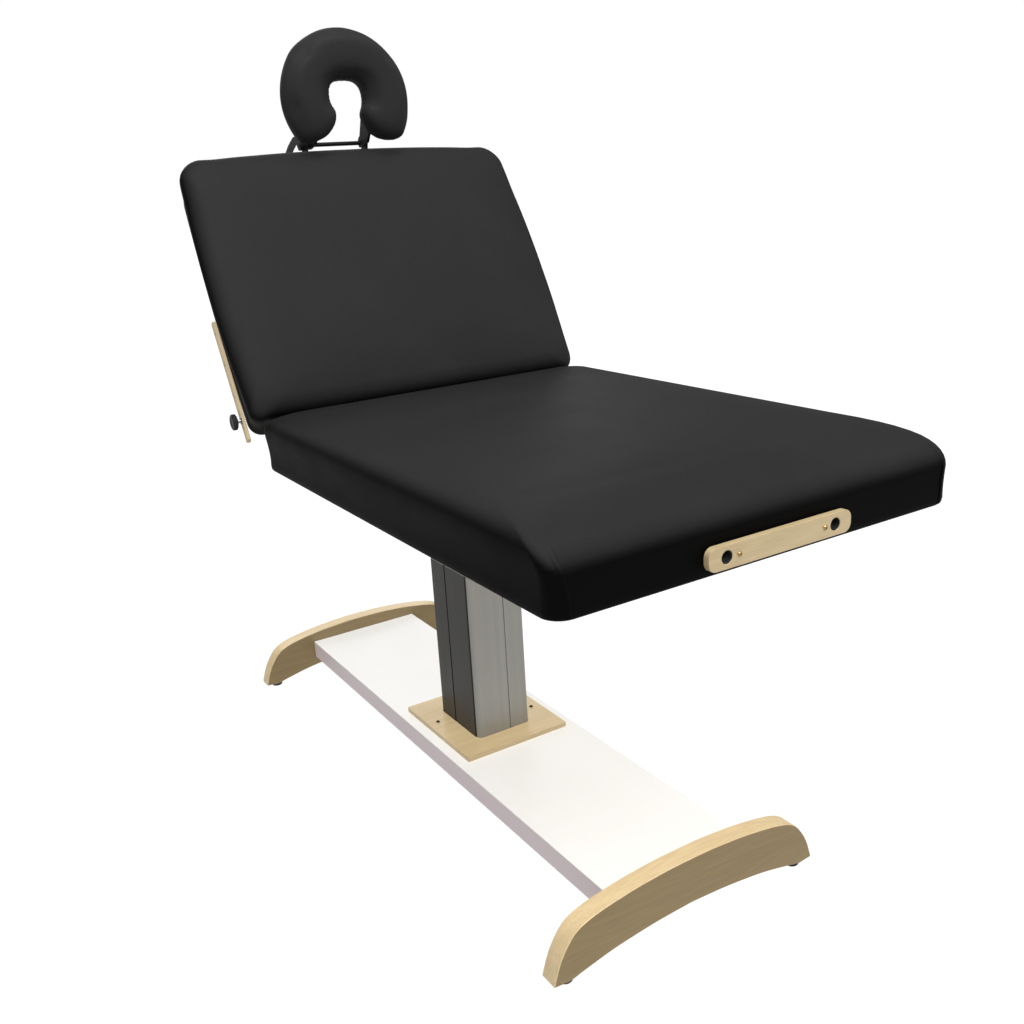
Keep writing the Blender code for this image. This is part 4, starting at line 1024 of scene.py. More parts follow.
@dataclass
class PadForm:
    """Sizes of one upholstered section, in its own axes: u from the hinge, v across, h from the top."""

    span: float  # length from the hinge to the far end
    bulge: float  # how far the sides stand out
    side_r: float  # roll of the sides
    hinge_r: float  # roll towards the hinge
    end_bulge: float  # how far the far end stands out
    end_r: float  # roll of the far end
    roll_from: float  # height at which the far end starts to roll
    corner_r: float  # corner radius of the far end
    taper: float = 0.0  # narrowing towards the far end
    bow: float = 0.0  # bow of the far end
    swell: float = 0.0  # swelling of the sides at the middle
    top_bow: float = 0.0  # further bow of the upper part of the far end
    top_swell: float = 0.0  # further swelling of the upper part of the sides
    draw: float = 0.0  # drawing in of the sides' lower edge towards the far end
    draw_rise: float = 0.05  # height at which that drawing in ends
    upper: Pair = (0.045, 0.040)  # start and length of the change to the upper part
    half: float = 0.3935  # half of the width
    thick: float = 0.125  # height of the pad
    edge: float = 0.038  # height of the rolled top edge
    crown: float = 0.006  # rise of the top
    crown_soft: float = 0.055  # distance over which that rise sets in
    skirt: float = 0.008  # width of the rim round the pocket
    pocket: float = 0.0596  # depth of the pocket
    tuck: float = 0.003  # inset of the lower edge
    tuck_rise: float = 0.004  # height at which that inset ends
    plate_top: float = 0.060  # height up to which the far end stays flat
    low_share: float = 0.25  # share of the bulge at that height
    side_from: float = 0.016  # height at which the sides start to stand out
    hinge_corner_r: float = 0.028  # corner radius of the hinge end
    corner_grow: float = 1.2  # growth of the corner radius towards the top
    loose: Pair = (0.010, 0.045)  # start and length of the rise over which the cover gets free to move
    cell: float = 0.0098  # size of the mesh's cells
    arc: int = 4  # steps of half a corner
    side_rows: int = 11  # rows of cells up the sides
    edge_rows: int = 9  # rows of cells over the rolled edge

    def counts(self) -> tuple[int, int]:
        """Straight steps along the sides and along the ends."""
        return round(self.span / self.cell), round(2 * self.half / self.cell)

    def steps(self) -> tuple[int, int]:
        """Steps along the sides and along the ends, each from the middle of a corner to the next."""
        deep, wide = self.counts()
        return deep + 2 * self.arc, wide + 2 * self.arc

    def _insets(self, z: float) -> Point:
        """Finds the insets at a height.

        Args:
            z: Height over the underside.

        Returns:
            Insets at the hinge end, the far end and the sides.
        """
        full = self.thick - self.edge
        if z <= full:
            hinge = float(np.interp(z, (0.0, self.tuck_rise), (self.tuck, 0.0)))
            rise = ramp(z, self.side_from, full - self.side_from)
            side = hinge - self.bulge * rise * rise * (3.0 - 2.0 * rise)
            levels = (0.0, self.tuck_rise, self.plate_top, 0.5 * (self.plate_top + full), full - 0.008, full)
            grown = (-0.75 * self.end_bulge, -0.95 * self.end_bulge, -self.end_bulge)
            end = float(np.interp(z, levels, (self.tuck, 0.0, -self.low_share * self.bulge, *grown)))
        else:
            lean = math.sqrt(1.0 - ramp(z, full, self.edge) ** 2)
            side = self.side_r * (1.0 - lean) - self.bulge * lean
            hinge, end = self.hinge_r * (1.0 - lean), 0.0
        if z > self.roll_from:
            lean = math.sqrt(1.0 - ramp(z, self.roll_from, self.thick - self.roll_from) ** 2)
            end = self.end_r * (1.0 - lean) - self.end_bulge * lean
        return hinge, end, side

    def _shape(self, u: float, v: float, rise: float | None) -> Pair:
        """Adds taper, swelling and bow to a point of a ring.

        Args:
            u: Place along the pad.
            v: Place across it.
            rise: Height over the underside, or None inside the pocket.

        Returns:
            The moved point.
        """
        along = max(u / self.span, 0.0)
        wide = v * (1.0 - self.taper / self.half * along**2)
        if rise is not None:
            lift = ramp(rise, *self.upper)
            swell = self.swell + self.top_swell * lift
            wide *= 1.0 + swell / self.half * 4 * along * max(1.0 - along, 0.0)
            wide *= 1.0 - self.draw / self.half * along * max(1.0 - rise / self.draw_rise, 0.0)
            u += (self.bow + self.top_bow * lift) * along**3 * max(1.0 - (v / self.half) ** 2, 0.0)
        return u, wide

    def ring(self, insets: Point, rise: float | None) -> list[Pair]:
        """Runs a rounded outline, starting at the middle of one far corner.

        Args:
            insets: Insets at the hinge end, the far end and the sides.
            rise: Height over the underside, or None inside the pocket.

        Returns:
            Points along and across.
        """
        hinge, end, side = insets
        r_low, r_high = self.hinge_corner_r - self.skirt, self.corner_r - self.skirt
        if rise is not None:
            r_low = self.hinge_corner_r + 0.5 * min(max(hinge, 0.0), self.edge)
            r_high = self.corner_r + self.corner_grow * min(max(side, 0.0), 0.05)
        high, half = self.span - end, self.half - side
        corners = (
            (high - r_high, -half + r_high, r_high, -90), (high - r_high, half - r_high, r_high, 0),
            (hinge + r_low, half - r_low, r_low, 90), (hinge + r_low, -half + r_low, r_low, 180),
        )
        turns = [45 * k / self.arc for k in range(self.arc + 1)]
        points = []
        for i, corner in enumerate(corners):
            after = corners[(i + 1) % 4]
            points += [self._on_arc(corner, 45 + turn) for turn in turns]
            last, then = points[-1], self._on_arc(after, 0)
            steps = self.counts()[1 - i % 2]
            for f in (k / steps for k in range(1, steps)):
                points.append((last[0] + f * (then[0] - last[0]), last[1] + f * (then[1] - last[1])))
            points += [self._on_arc(after, turn) for turn in turns[:-1]]
        return [self._shape(u, v, rise) for u, v in points]

    @staticmethod
    def _on_arc(corner: tuple[float, ...], turn: float) -> Pair:
        """Point of a corner, given as its centre, radius and first angle, at a turn in degrees."""
        u, v, r, first = corner
        return u + r * math.cos(math.radians(first + turn)), v + r * math.sin(math.radians(first + turn))

    def build(self, place: Place) -> tuple[BMesh, np.ndarray]:
        """Builds the pad of four-sided faces, with the ceiling of its pocket still open.

        Args:
            place: Axes with the hinge end of the top at the origin.

        Returns:
            The mesh, and how free each point is to move, from 0 to 1.
        """
        full, low = self.thick - self.edge, self.tuck
        heights = [0.0, low] + [low + (full - low) * k / self.side_rows for k in range(1, self.side_rows + 1)]
        turns = (math.radians(90 * k / self.edge_rows) for k in range(1, self.edge_rows + 1))
        heights += [full + self.edge * math.sin(turn) for turn in turns]
        inner = self.ring((self.skirt,) * 3, None)
        layers = [(inner, self.pocket, 0.0), (inner, 0.0, 0.0)]
        layers += [(self.ring(self._insets(z), z), z, ramp(z, *self.loose)) for z in heights]
        bm = bmesh.new()
        rings = [[bm.verts.new(place.at(u, v, z - self.thick)) for u, v in points] for points, z, _ in layers]
        free = [share for points, _, share in layers for _ in points]
        loft(bm, rings)
        free += [1.0] * self._top(bm, rings[-1], Vector(place.normal))
        if not place.right_handed():
            bmesh.ops.reverse_faces(bm, faces=bm.faces)
        bm.verts.index_update()
        return bm, np.array(free)

    def _top(self, bm: BMesh, edge: list, normal: Vector) -> int:
        """Fills the top ring with a crowned grid.

        Args:
            bm: Mesh that takes the faces.
            edge: Points of the top ring.
            normal: Direction of the crown.

        Returns:
            How many points were added.
        """
        deep, wide = self.steps()
        far = edge[: wide + 1]
        plus = edge[wide: wide + deep + 1]
        near = edge[wide + deep: 2 * wide + deep + 1][::-1]
        minus = (edge[2 * wide + deep:] + edge[:1])[::-1]
        grid = [far]
        for i in range(1, deep):
            s, row = i / deep, [minus[i]]
            for j in range(1, wide):
                t = j / wide
                flat = (
                    (1 - s) * far[j].co + s * near[j].co + (1 - t) * minus[i].co + t * plus[i].co
                    - (1 - s) * (1 - t) * far[0].co - (1 - s) * t * far[wide].co
                    - s * (1 - t) * near[0].co - s * t * near[wide].co
                )
                rise = self.crown
                for point in (far[j], near[j], minus[i], plus[i]):
                    rise *= 1.0 - math.exp(-(flat - point.co).length / self.crown_soft)
                row.append(bm.verts.new(flat + rise * normal))
            grid.append(row + [plus[i]])
        grid.append(near)
        for first, second in zip(grid, grid[1:]):
            for j in range(wide):
                bm.faces.new([first[j], first[j + 1], second[j + 1], second[j]])
        return (deep - 1) * (wide - 1)


CLOTH_RULES: dict[str, Any] = {
    "quality": 4, "mass": 0.35, "tension_stiffness": 18.0, "compression_stiffness": 18.0,
    "shear_stiffness": 8.0, "bending_stiffness": 1.2, "vertex_group_mass": "held", "use_pressure": True,
}


@dataclass
class Stuffing:
    """Fills a closed skin by cloth simulation."""

    cap: float = 0.006  # most that a point may move
    slack: float = 0.003  # how much smaller the skin starts
    pressure: float = 4.0  # pressure of the filling
    frames: int = 14  # length of the simulation
    passes: int = 6  # times that small ripples are evened out

    def fill(self, obj: Object, free: np.ndarray) -> None:
        """Swells the skin in place and keeps the result in its mesh.

        Args:
            obj: Object whose mesh is the skin.
            free: How free each point is to move, from 0 to 1.
        """
        mesh = obj.data
        shape, normals, swollen = (np.empty(len(mesh.vertices) * 3) for _ in range(3))
        mesh.vertices.foreach_get("co", shape)
        mesh.vertex_normals.foreach_get("vector", normals)
        start = shape.reshape(-1, 3) - normals.reshape(-1, 3) * (self.slack * free)[:, None]
        mesh.vertices.foreach_set("co", start.ravel())
        mesh.update()
        held = obj.vertex_groups.new(name="held")
        for index, loose in enumerate(free):
            if loose < 0.999:
                held.add([index], 1.0 - float(loose), "REPLACE")
        cloth = obj.modifiers.new("stuffing", "CLOTH")
        for name, value in CLOTH_RULES.items():
            setattr(cloth.settings, name, value)
        cloth.settings.uniform_pressure_force = self.pressure
        cloth.settings.effector_weights.gravity = 0.0
        cloth.collision_settings.use_collision = False
        cloth.collision_settings.use_self_collision = False
        cloth.point_cache.frame_start = 1
        cloth.point_cache.frame_end = self.frames
        scene = bpy.context.scene
        for number in range(1, self.frames + 1):
            scene.frame_set(number)
        result = obj.evaluated_get(bpy.context.evaluated_depsgraph_get()).data
        result.vertices.foreach_get("co", swollen)
        moved = self._eased(mesh, swollen.reshape(-1, 3) - start)
        length = np.linalg.norm(moved, axis=1, keepdims=True)
        gain = self.slack / max(float(np.median(length[free > 0.99])), 1e-6)
        moved, length = moved * gain, length * gain
        limit = self.cap * np.tanh(length / self.cap) / np.maximum(length, 1e-9)
        obj.modifiers.clear()
        obj.vertex_groups.clear()
        scene.frame_set(1)
        mesh.vertices.foreach_set("co", (start + moved * limit).ravel())
        mesh.update()
        LOG.info("%s filled, largest move %.1f mm", obj.name, 1000 * float((length * limit).max()))

    def _eased(self, mesh: Mesh, moved: np.ndarray) -> np.ndarray:
        """Evens out small ripples of the simulated move.

        Args:
            mesh: The skin.
            moved: Move of each point.

        Returns:
            The evened moves.
        """
        ends = np.empty(len(mesh.edges) * 2, dtype=np.int64)
        mesh.edges.foreach_get("vertices", ends)
        first, second = ends.reshape(-1, 2).T
        degree = np.bincount(ends, minlength=len(moved))[:, None]
        for _ in range(self.passes):
            around = np.zeros_like(moved)
            np.add.at(around, first, moved[second])
            np.add.at(around, second, moved[first])
            moved = 0.5 * moved + 0.5 * around / np.maximum(degree, 1)
        return moved


@dataclass
class Section:
    """One upholstered section of the table with its cover."""

    shop: Workshop
    name: str  # name of the section
    body: str  # body that carries it
    node: str  # solid that the pad stands for
    place: Place  # axes with the hinge end of the top at the origin
    form: PadForm  # sizes of the pad
    crease: float = 0.0  # length of the painted shadow along the hinge crease
    crease_shadow_share: float = 0.34  # share of that painted shadow
    pleat: float = 0.0015  # height of the folds at the corners
    # row at which a fold would start from nothing, its first row and the row over its last
    pleat_rows: tuple[int, int, int] = (1, 3, 17)
    hem_insets: Point = (0.0015, 0.011, 0.021)  # insets of the hem's outer edge, middle and inner edge from the skirt
    hem_ragged: Pair = (0.0012, 0.0008)  # two depths of the ragged inner edge
    staple_step: int = 3  # points of the hem from staple to staple

    def build(self, staples: FittingTree) -> None:
        """Builds and fills the pad, then folds its corners and staples its hem.

        Args:
            staples: Tree that sets staples.
        """
        bm, free = self.form.build(self.place)
        name = self.name + "_upholstery"
        pad = self.shop.piece(name, bm, self.body, "black_vinyl", (self.node,), crease=70.0, outward=False)
        Stuffing().fill(pad, free)
        self._close(pad)
        self._paint_pad_shade(pad)
        self._pleats(pad)
        self._hem(staples)

    def _paint_pad_shade(self, pad: Object) -> None:
        """Paints shade on the pad's side panels, which turn away from the top, and a painted shadow along the hinge
        crease.

        Args:
            pad: The pad or its pleats.
        """
        normal, along, origin = (Vector(v) for v in (self.place.normal, self.place.along, self.place.origin))
        layer = pad.data.attributes.new(PAINTED_SHADE_ATTRIBUTE, "FLOAT", "POINT")
        run = (0.15 * self.crease, 1.15 * self.crease)
        shade_values = []
        for vertex, entry in zip(pad.data.vertices, pad.data.vertex_normals):
            # Painted shade where the surface turns away from the top, and a painted shadow near the hinge crease.
            boxing_shade = float(np.interp(Vector(entry.vector).dot(normal), (0.30, 0.86), (1.0, 0.0)))
            reach = (vertex.co - origin).dot(along)
            shade_values.append(max(boxing_shade, float(np.interp(reach, run, (self.crease_shadow_share, 0.0)))))
        layer.data.foreach_set("value", shade_values)

    def _close(self, pad: Object) -> None:
        """Closes the ceiling of the pocket.

        Args:
            pad: The filled pad.
        """
        bm = bmesh.new()
        bm.from_mesh(pad.data)
        bm.verts.ensure_lookup_table()
        rim = [bm.verts[k] for k in range(2 * sum(self.form.steps()))]
        bm.faces.new(rim[::-1] if self.place.right_handed() else rim)
        bm.to_mesh(pad.data)
        bm.free()

    def _pleats(self, pad: Object) -> None:
        """Lays a folded pleat down each far corner of the cover.

        Args:
            pad: The filled pad.
        """
        count, wide, arc = 2 * sum(self.form.steps()), self.form.steps()[1], self.form.arc
        points = [v.co.copy() for v in pad.data.vertices]
        normals = [Vector(n.vector) for n in pad.data.vertex_normals]
        under, low, over = self.pleat_rows
        bm = bmesh.new()
        for column, way in ((arc, 1), (wide - arc, -1)):
            rings = []
            for row in range(low, over):
                rows = (row * count + (column - way * k) % count for k in range(3))
                (a, b, c), (na, nb, nc) = zip(*((points[k], normals[k]) for k in rows))
                side = (a - b).normalized()
                lip = self.pleat * min(1.0, (row - under) / 4, (over - row) / 6)
                section = (
                    a + side * 0.0007 - na * 0.0016, a + side * 0.0010 + na * lip * 0.45,
                    a + side * 0.0002 + na * lip, a.lerp(b, 0.5) + nb * lip * 0.95, b + nb * lip * 0.65,
                    c - nc * 0.0003, c - nc * 0.0016,
                )
                rings.append([bm.verts.new(p) for p in section])
            loft(bm, rings, (1, -1))
        self._paint_pad_shade(self.shop.piece(self.name + "_corner_pleats", bm, self.body, "black_vinyl", crease=50.0))

    def _course(self, inset: float) -> list[Pair]:
        """Runs a line round the far end, from hinge corner to hinge corner.

        Args:
            inset: Inset of the line from the skirt.

        Returns:
            Points along and across.
        """
        deep, wide = self.form.steps()
        trim = self.form.arc + 2
        ring = self.form.ring((self.form.skirt + inset,) * 3, None)
        return (ring[2 * wide + deep:] + ring[: wide + deep + 1])[trim:-trim]

    def _hem(self, staples: FittingTree) -> None:
        """Turns the cover under the frame on three sides and staples it there.

        Args:
            staples: Tree that sets staples.
        """
        base = -self.form.thick
        outer, middle, inner = (self._course(inset) for inset in self.hem_insets)
        bm = bmesh.new()
        rows = []
        for index, (o, m, i) in enumerate(zip(outer, middle, inner)):
            coarse, fine = self.hem_ragged
            ragged = coarse * math.sin(1.9 * index) + fine * math.sin(0.7 * index + 1.0)
            i = (i[0] + ragged * (i[0] - m[0]) / 0.010, i[1] + ragged * (i[1] - m[1]) / 0.010)
            slack = -0.0013 - 0.0002 * math.sin(1.3 * index)
            places = ((o, -0.0002), (o, -0.0008), (m, slack), (i, -0.0008), (i, -0.0002))
            rows.append([bm.verts.new(self.place.at(*q, base + h)) for q, h in places])
        loft(bm, rows, (1, -1))
        self.shop.piece(self.name + "_hem", bm, self.body, "black_vinyl", crease=50.0)
        spots = []
        for index in range(2, len(middle) - 2, self.staple_step):
            here = self.place.at(*middle[index], base - 0.0015)
            heading = self.place.at(*middle[index + 1], base) - self.place.at(*middle[index - 1], base)
            spots.append((here, -Vector(self.place.normal), heading.normalized()))
        staples.set_on(self.name + "_staples", spots, HEM_STAPLE, self.body)


@dataclass
class FaceCushion:
    """Horseshoe cushion of the face cradle."""

    shop: Workshop
    place: Place  # axes of the cradle, with the pivot at the origin
    radius: float = 0.1045  # radius of the middle of the band
    band: float = 0.111  # width of the band
    hole_rise: float = 0.035  # height of the face opening over its middle
    hole_half: float = 0.0405  # half of the opening's width
    mouth: float = 0.006  # narrowing of the opening towards the ends of the sweep
    thick: float = 0.076  # thickness
    middle: float = 0.085  # distance of the centre from the pivot
    sweep: float = 122.0  # half of the swept angle, in degrees
    end_turns: tuple[float, ...] = (10, 24, 38, 52, 66, 78)  # turns of the sections that round off an end, in degrees
    end_push: float = 0.038  # how far an end stands past the sweep
    square: float = 0.78  # power that squares the section
    base: float = 0.0593  # height of the platform over the pivot
    loose: Pair = (0.004, 0.02)  # start and length of the rise over which the cover gets free to move
    seam: float = 318.0  # where the seam lies around the section, in degrees
    seam_depth: float = 0.0011  # depth of the seam
    fold: float = 0.0019  # depth of the folds around the opening
    fold_reach: float = 0.021  # how far the folds reach from the opening
    around: int = 56  # points around a section
    along: int = 140  # sections along the sweep

    def _band(self, angle: float) -> Pair:
        """Finds the band's inner and outer radius.

        Args:
            angle: Angle around the opening, in radians.

        Returns:
            The two radii.
        """
        turn = abs(angle)
        if turn <= math.pi / 2:
            high, wide = math.cos(turn) / self.hole_rise, math.sin(turn) / self.hole_half
            inner = (high**3 + wide**3) ** (-1 / 3)
        else:
            bend = ramp(turn, math.pi / 2, 0.55)
            inner = (self.hole_half - self.mouth * bend * bend) / math.sin(turn)
        return inner, self.radius + self.band / 2

    def _section(self, angle: float, scale: float = 1.0, push: float = 0.0) -> list[Vector]:
        """Runs one section of the band.

        Args:
            angle: Angle around the opening, in radians.
            scale: Share of the full section.
            push: How far the section is moved on past the end of the sweep.

        Returns:
            Points of the section.
        """
        inner, outer = self._band(angle)
        points = []
        for c, s in circle(self.around):
            wide = (outer - inner) / 2 * scale * math.copysign(abs(c) ** self.square, c)
            rise = self.thick / 2 * (0.35 + 0.65 * scale) * math.copysign(abs(s) ** self.square, s)
            r = (outer + inner) / 2 + wide
            u = self.middle + r * math.cos(angle) - push * math.sin(abs(angle))
            v = r * math.sin(angle) + push * math.cos(angle) * math.copysign(1.0, angle)
            points.append(self.place.at(u, v, self.base + self.thick / 2 + rise))
        return points

    def build(self, stitches: FittingTree) -> None:
        """Builds and fills the cushion, gathers its inner rim and sews its seam.

        Args:
            stitches: Tree that sets stitches.
        """
        sweep = math.radians(self.sweep)
        ends = [(math.sin(a), self.end_push * math.cos(a)) for a in map(math.radians, self.end_turns)]
        sections = [self._section(-sweep, *end) for end in ends]
        sections += [self._section(-sweep + 2 * sweep * k / self.along) for k in range(self.along + 1)]
        sections += [self._section(sweep, *end) for end in reversed(ends)]
        bm = bmesh.new()
        rings = [[bm.verts.new(p) for p in points] for points in sections]
        loft(bm, rings)
        for ring in (rings[0], rings[-1]):
            middle = bm.verts.new(sum((v.co for v in ring), Vector()) / len(ring))
            for k in range(self.around):
                bm.faces.new([ring[k], ring[(k + 1) % self.around], middle])
        bm.verts.index_update()
        bmesh.ops.recalc_face_normals(bm, faces=bm.faces)
        normal, origin = Vector(self.place.normal), Vector(self.place.origin)
        free = np.array([ramp((v.co - origin).dot(normal) - self.base, *self.loose) for v in bm.verts])
        nodes = ("face_cushion",)
        cushion = self.shop.piece("face_cushion_cover", bm, "headrest", "cushion_vinyl", nodes, crease=80.0)
        Stuffing(pressure=20.0, passes=24).fill(cushion, free)
        self._gather(cushion)
        self._seam(cushion, stitches, len(sections))

    def _seam(self, cushion: Object, stitches: FittingTree, sections: int) -> None:
        """Sinks the seam round the outer edge and sews it.

        Args:
            cushion: The filled cushion.
            stitches: Tree that sets stitches.
            sections: Number of sections of the cushion.
        """
        column, ends = round(self.around * self.seam / 360.0), len(self.end_turns)
        points = cushion.data.vertices
        normals = [Vector(n.vector) for n in cushion.data.vertex_normals]
        line = [section * self.around + column for section in range(ends, sections - ends)]
        for index in line:
            points[index].co -= normals[index] * self.seam_depth
        spots = []
        for before, index, after in zip(line, line[1:], line[2:]):
            heading = (points[after].co - points[before].co).normalized()
            spots.append((points[index].co + normals[index] * 0.0002, normals[index], heading))
        stitches.set_on("face_cushion_stitches", spots, SEAM_STITCH, "headrest")

    def _gather(self, cushion: Object) -> None:
        """Draws small folds into the cover around the face opening.

        Args:
            cushion: The filled cushion.
        """
        origin, along, normal = (Vector(v) for v in (self.place.origin, self.place.along, self.place.normal))
        for vertex in cushion.data.vertices:
            away = vertex.co - origin
            u, v, n = away.dot(along) - self.middle, vertex.co.y, away.dot(normal) - self.base
            r, angle = math.hypot(u, v), math.atan2(v, u)
            inner = math.exp(-(((r - self._band(angle)[0]) / self.fold_reach) ** 2))
            top = 0.35 + 0.65 * math.exp(-((angle / 1.3) ** 2))
            wave = math.sin(31 * angle + 1.7 * math.sin(3 * angle)) + 0.5 * math.sin(53 * angle + 1.0)
            depth = self.fold * wave * inner * ramp(n, 0.02, 0.03) * top
            vertex.co += depth * (normal * 0.7 + (along * u + Vector((0, v, 0))) / max(r, 1e-6) * 0.7)


# ---- base


FOOT_TOP: tuple[Pair, ...] = (
    (0.0, 1.0), (0.16, 0.996), (0.33, 0.972), (0.46, 0.944), (0.61, 0.896), (0.72, 0.846), (0.79, 0.795),
    (0.83, 0.75), (0.87, 0.676), (0.905, 0.575), (0.935, 0.47), (0.962, 0.345), (0.984, 0.2), (1.0, 0.085),
)
FOOT_UNDER: tuple[Pair, ...] = (
    (0.9, 0.0), (0.86, 0.06), (0.79, 0.21), (0.615, 0.53), (0.46, 0.72), (0.25, 0.9), (0.0, 1.0),
)
SIDES: tuple[tuple[str, float], ...] = (("near", -1.0), ("far", 1.0))
COLUMN_GROOVE = 0.002


@dataclass
class Base:
    """Floor base: arched feet, board, cover plate, column and control box."""

    shop: Workshop
    foot_span: float = 0.608  # length of a foot
    foot_rise: float = 0.137  # height of a foot's top
    foot_arch: float = 0.044  # height of the arch under it
    foot_toe: float = 0.009  # height of its toes over the floor
    # place across and height of each blade in the mains inlet
    blades: tuple[Pair, ...] = ((-0.0055, 0.0365), (0.0055, 0.0365), (0.0, 0.0410))
    blade_half: Pair = (0.0010, 0.0018)  # half of a blade's width and height
    blade_run: Pair = (0.006, 0.0195)  # start and end of the blades from the end of the box

    def build(self, screws: dict[str, FittingTree]) -> None:
        """Builds the pieces of the base.

        Args:
            screws: Screw trees by finish.
        """
        for end in ("foot", "head"):
            self._foot(end)
            for side, _ in SIDES:
                self._glide(f"glide_{end}_{side}")
        # Painted shade on the board's faces square to Y.
        paint_side_shade(self.shop.eased("base_board", "base", "white_laminate", 0.0012, 3), 1)
        self.shop.eased("column_cover_plate", "base", "maple_plate", 0.0018, 3)
        # Painted shade on the outer column's faces square to Y and in their grooves.
        paint_side_shade(self.shop.eased("column_outer", "base", "drawn_aluminium", 0.0004), 1, COLUMN_GROOVE)
        self.shop.eased("column_guide_ring", "base", "black_moulding", 0.0008)
        self.shop.eased("control_box", "base", "black_moulding", 0.0025, 3)
        self.shop.coat("lift_spindle", "zinc_steel")
        nodes = ("cover_screw_near", "cover_screw_far")
        spots = middle_spots(nodes, Z_AXIS, X_AXIS)
        screws["black_powder_coat"].set_on("cover_plate_screws", spots, COVER_SCREW, "base", nodes)
        self._blades()
        spots = under_spots("control_box", 0.012, 0.0003)
        screws["zinc_steel"].set_on("control_box_screws", spots, BOX_SCREW, "base")

    def _foot(self, end: str) -> None:
        """Builds one arched foot with rounded edges.

        Args:
            end: End of the table.
        """
        half, lift = self.foot_span / 2, self.foot_arch - self.foot_toe
        right = smooth_line([(half * y, self.foot_rise * z) for y, z in FOOT_TOP], 4)
        right += smooth_line([(half * y, self.foot_toe + lift * z) for y, z in FOOT_UNDER], 4)
        outline = right + [(-y, z) for y, z in reversed(right[1:-1])]
        node = "arched_foot_" + end
        low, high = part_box(node)
        bm = bmesh.new()
        prism(bm, outline, FACING_FOOT, low[0], high[0])
        bmesh.ops.recalc_face_normals(bm, faces=bm.faces)
        round_edges(bm, 0.0035, 3, 50.0)
        foot = self.shop.piece(node + "_timber", bm, "base", "maple_across", (node,))
        # Painted shade on the foot's broad faces square to X.
        paint_side_shade(foot, 0)
        even_shading(foot)

    def _blades(self) -> None:
        """Sets the contact blades in the control box's inlet."""
        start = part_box("control_box")[0][0]
        wide, tall = self.blade_half
        bm = bmesh.new()
        for y, z in self.blades:
            outline = [(y + i * wide, z + j * tall) for i, j in ((-1, -1), (1, -1), (1, 1), (-1, 1))]
            prism(bm, outline, FACING_FOOT, *(start + run for run in self.blade_run))
        round_edges(bm, 0.0003)
        self.shop.piece("inlet_blades", bm, "base", "satin_brass")

    def _glide(self, node: str) -> None:
        """Turns one rubber glide with a stepped rim.

        Args:
            node: Solid that it stands for.
        """
        low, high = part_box(node)
        r, top = (high[0] - low[0]) / 2, high[2]
        profile = [
            (0, 0.0), (r - 0.004, 0.0), (r - 0.0012, 0.0006), (r, 0.002), (r, 0.0042), (r - 0.0008, 0.005),
            (r - 0.0022, 0.0054), (r - 0.0026, 0.0078), (r - 0.004, top), (0, top),
        ]
        bm = bmesh.new()
        lathe(bm, Place((*centre(node)[:2], 0.0)), profile, 36)
        self.shop.piece(node + "_turned", bm, "base", "black_moulding", (node,))


# ---- plates, strips and knobs


KNOB_STEM: tuple[Pair, ...] = (
    (0, 0.0), (0.0068, 0.0), (0.0071, 0.0003), (0.0071, 0.0011), (0.0067, 0.0015), (0.0043, 0.0017),
    (0.0040, 0.0021), (0.0040, 0.0100), (0, 0.0100),
)


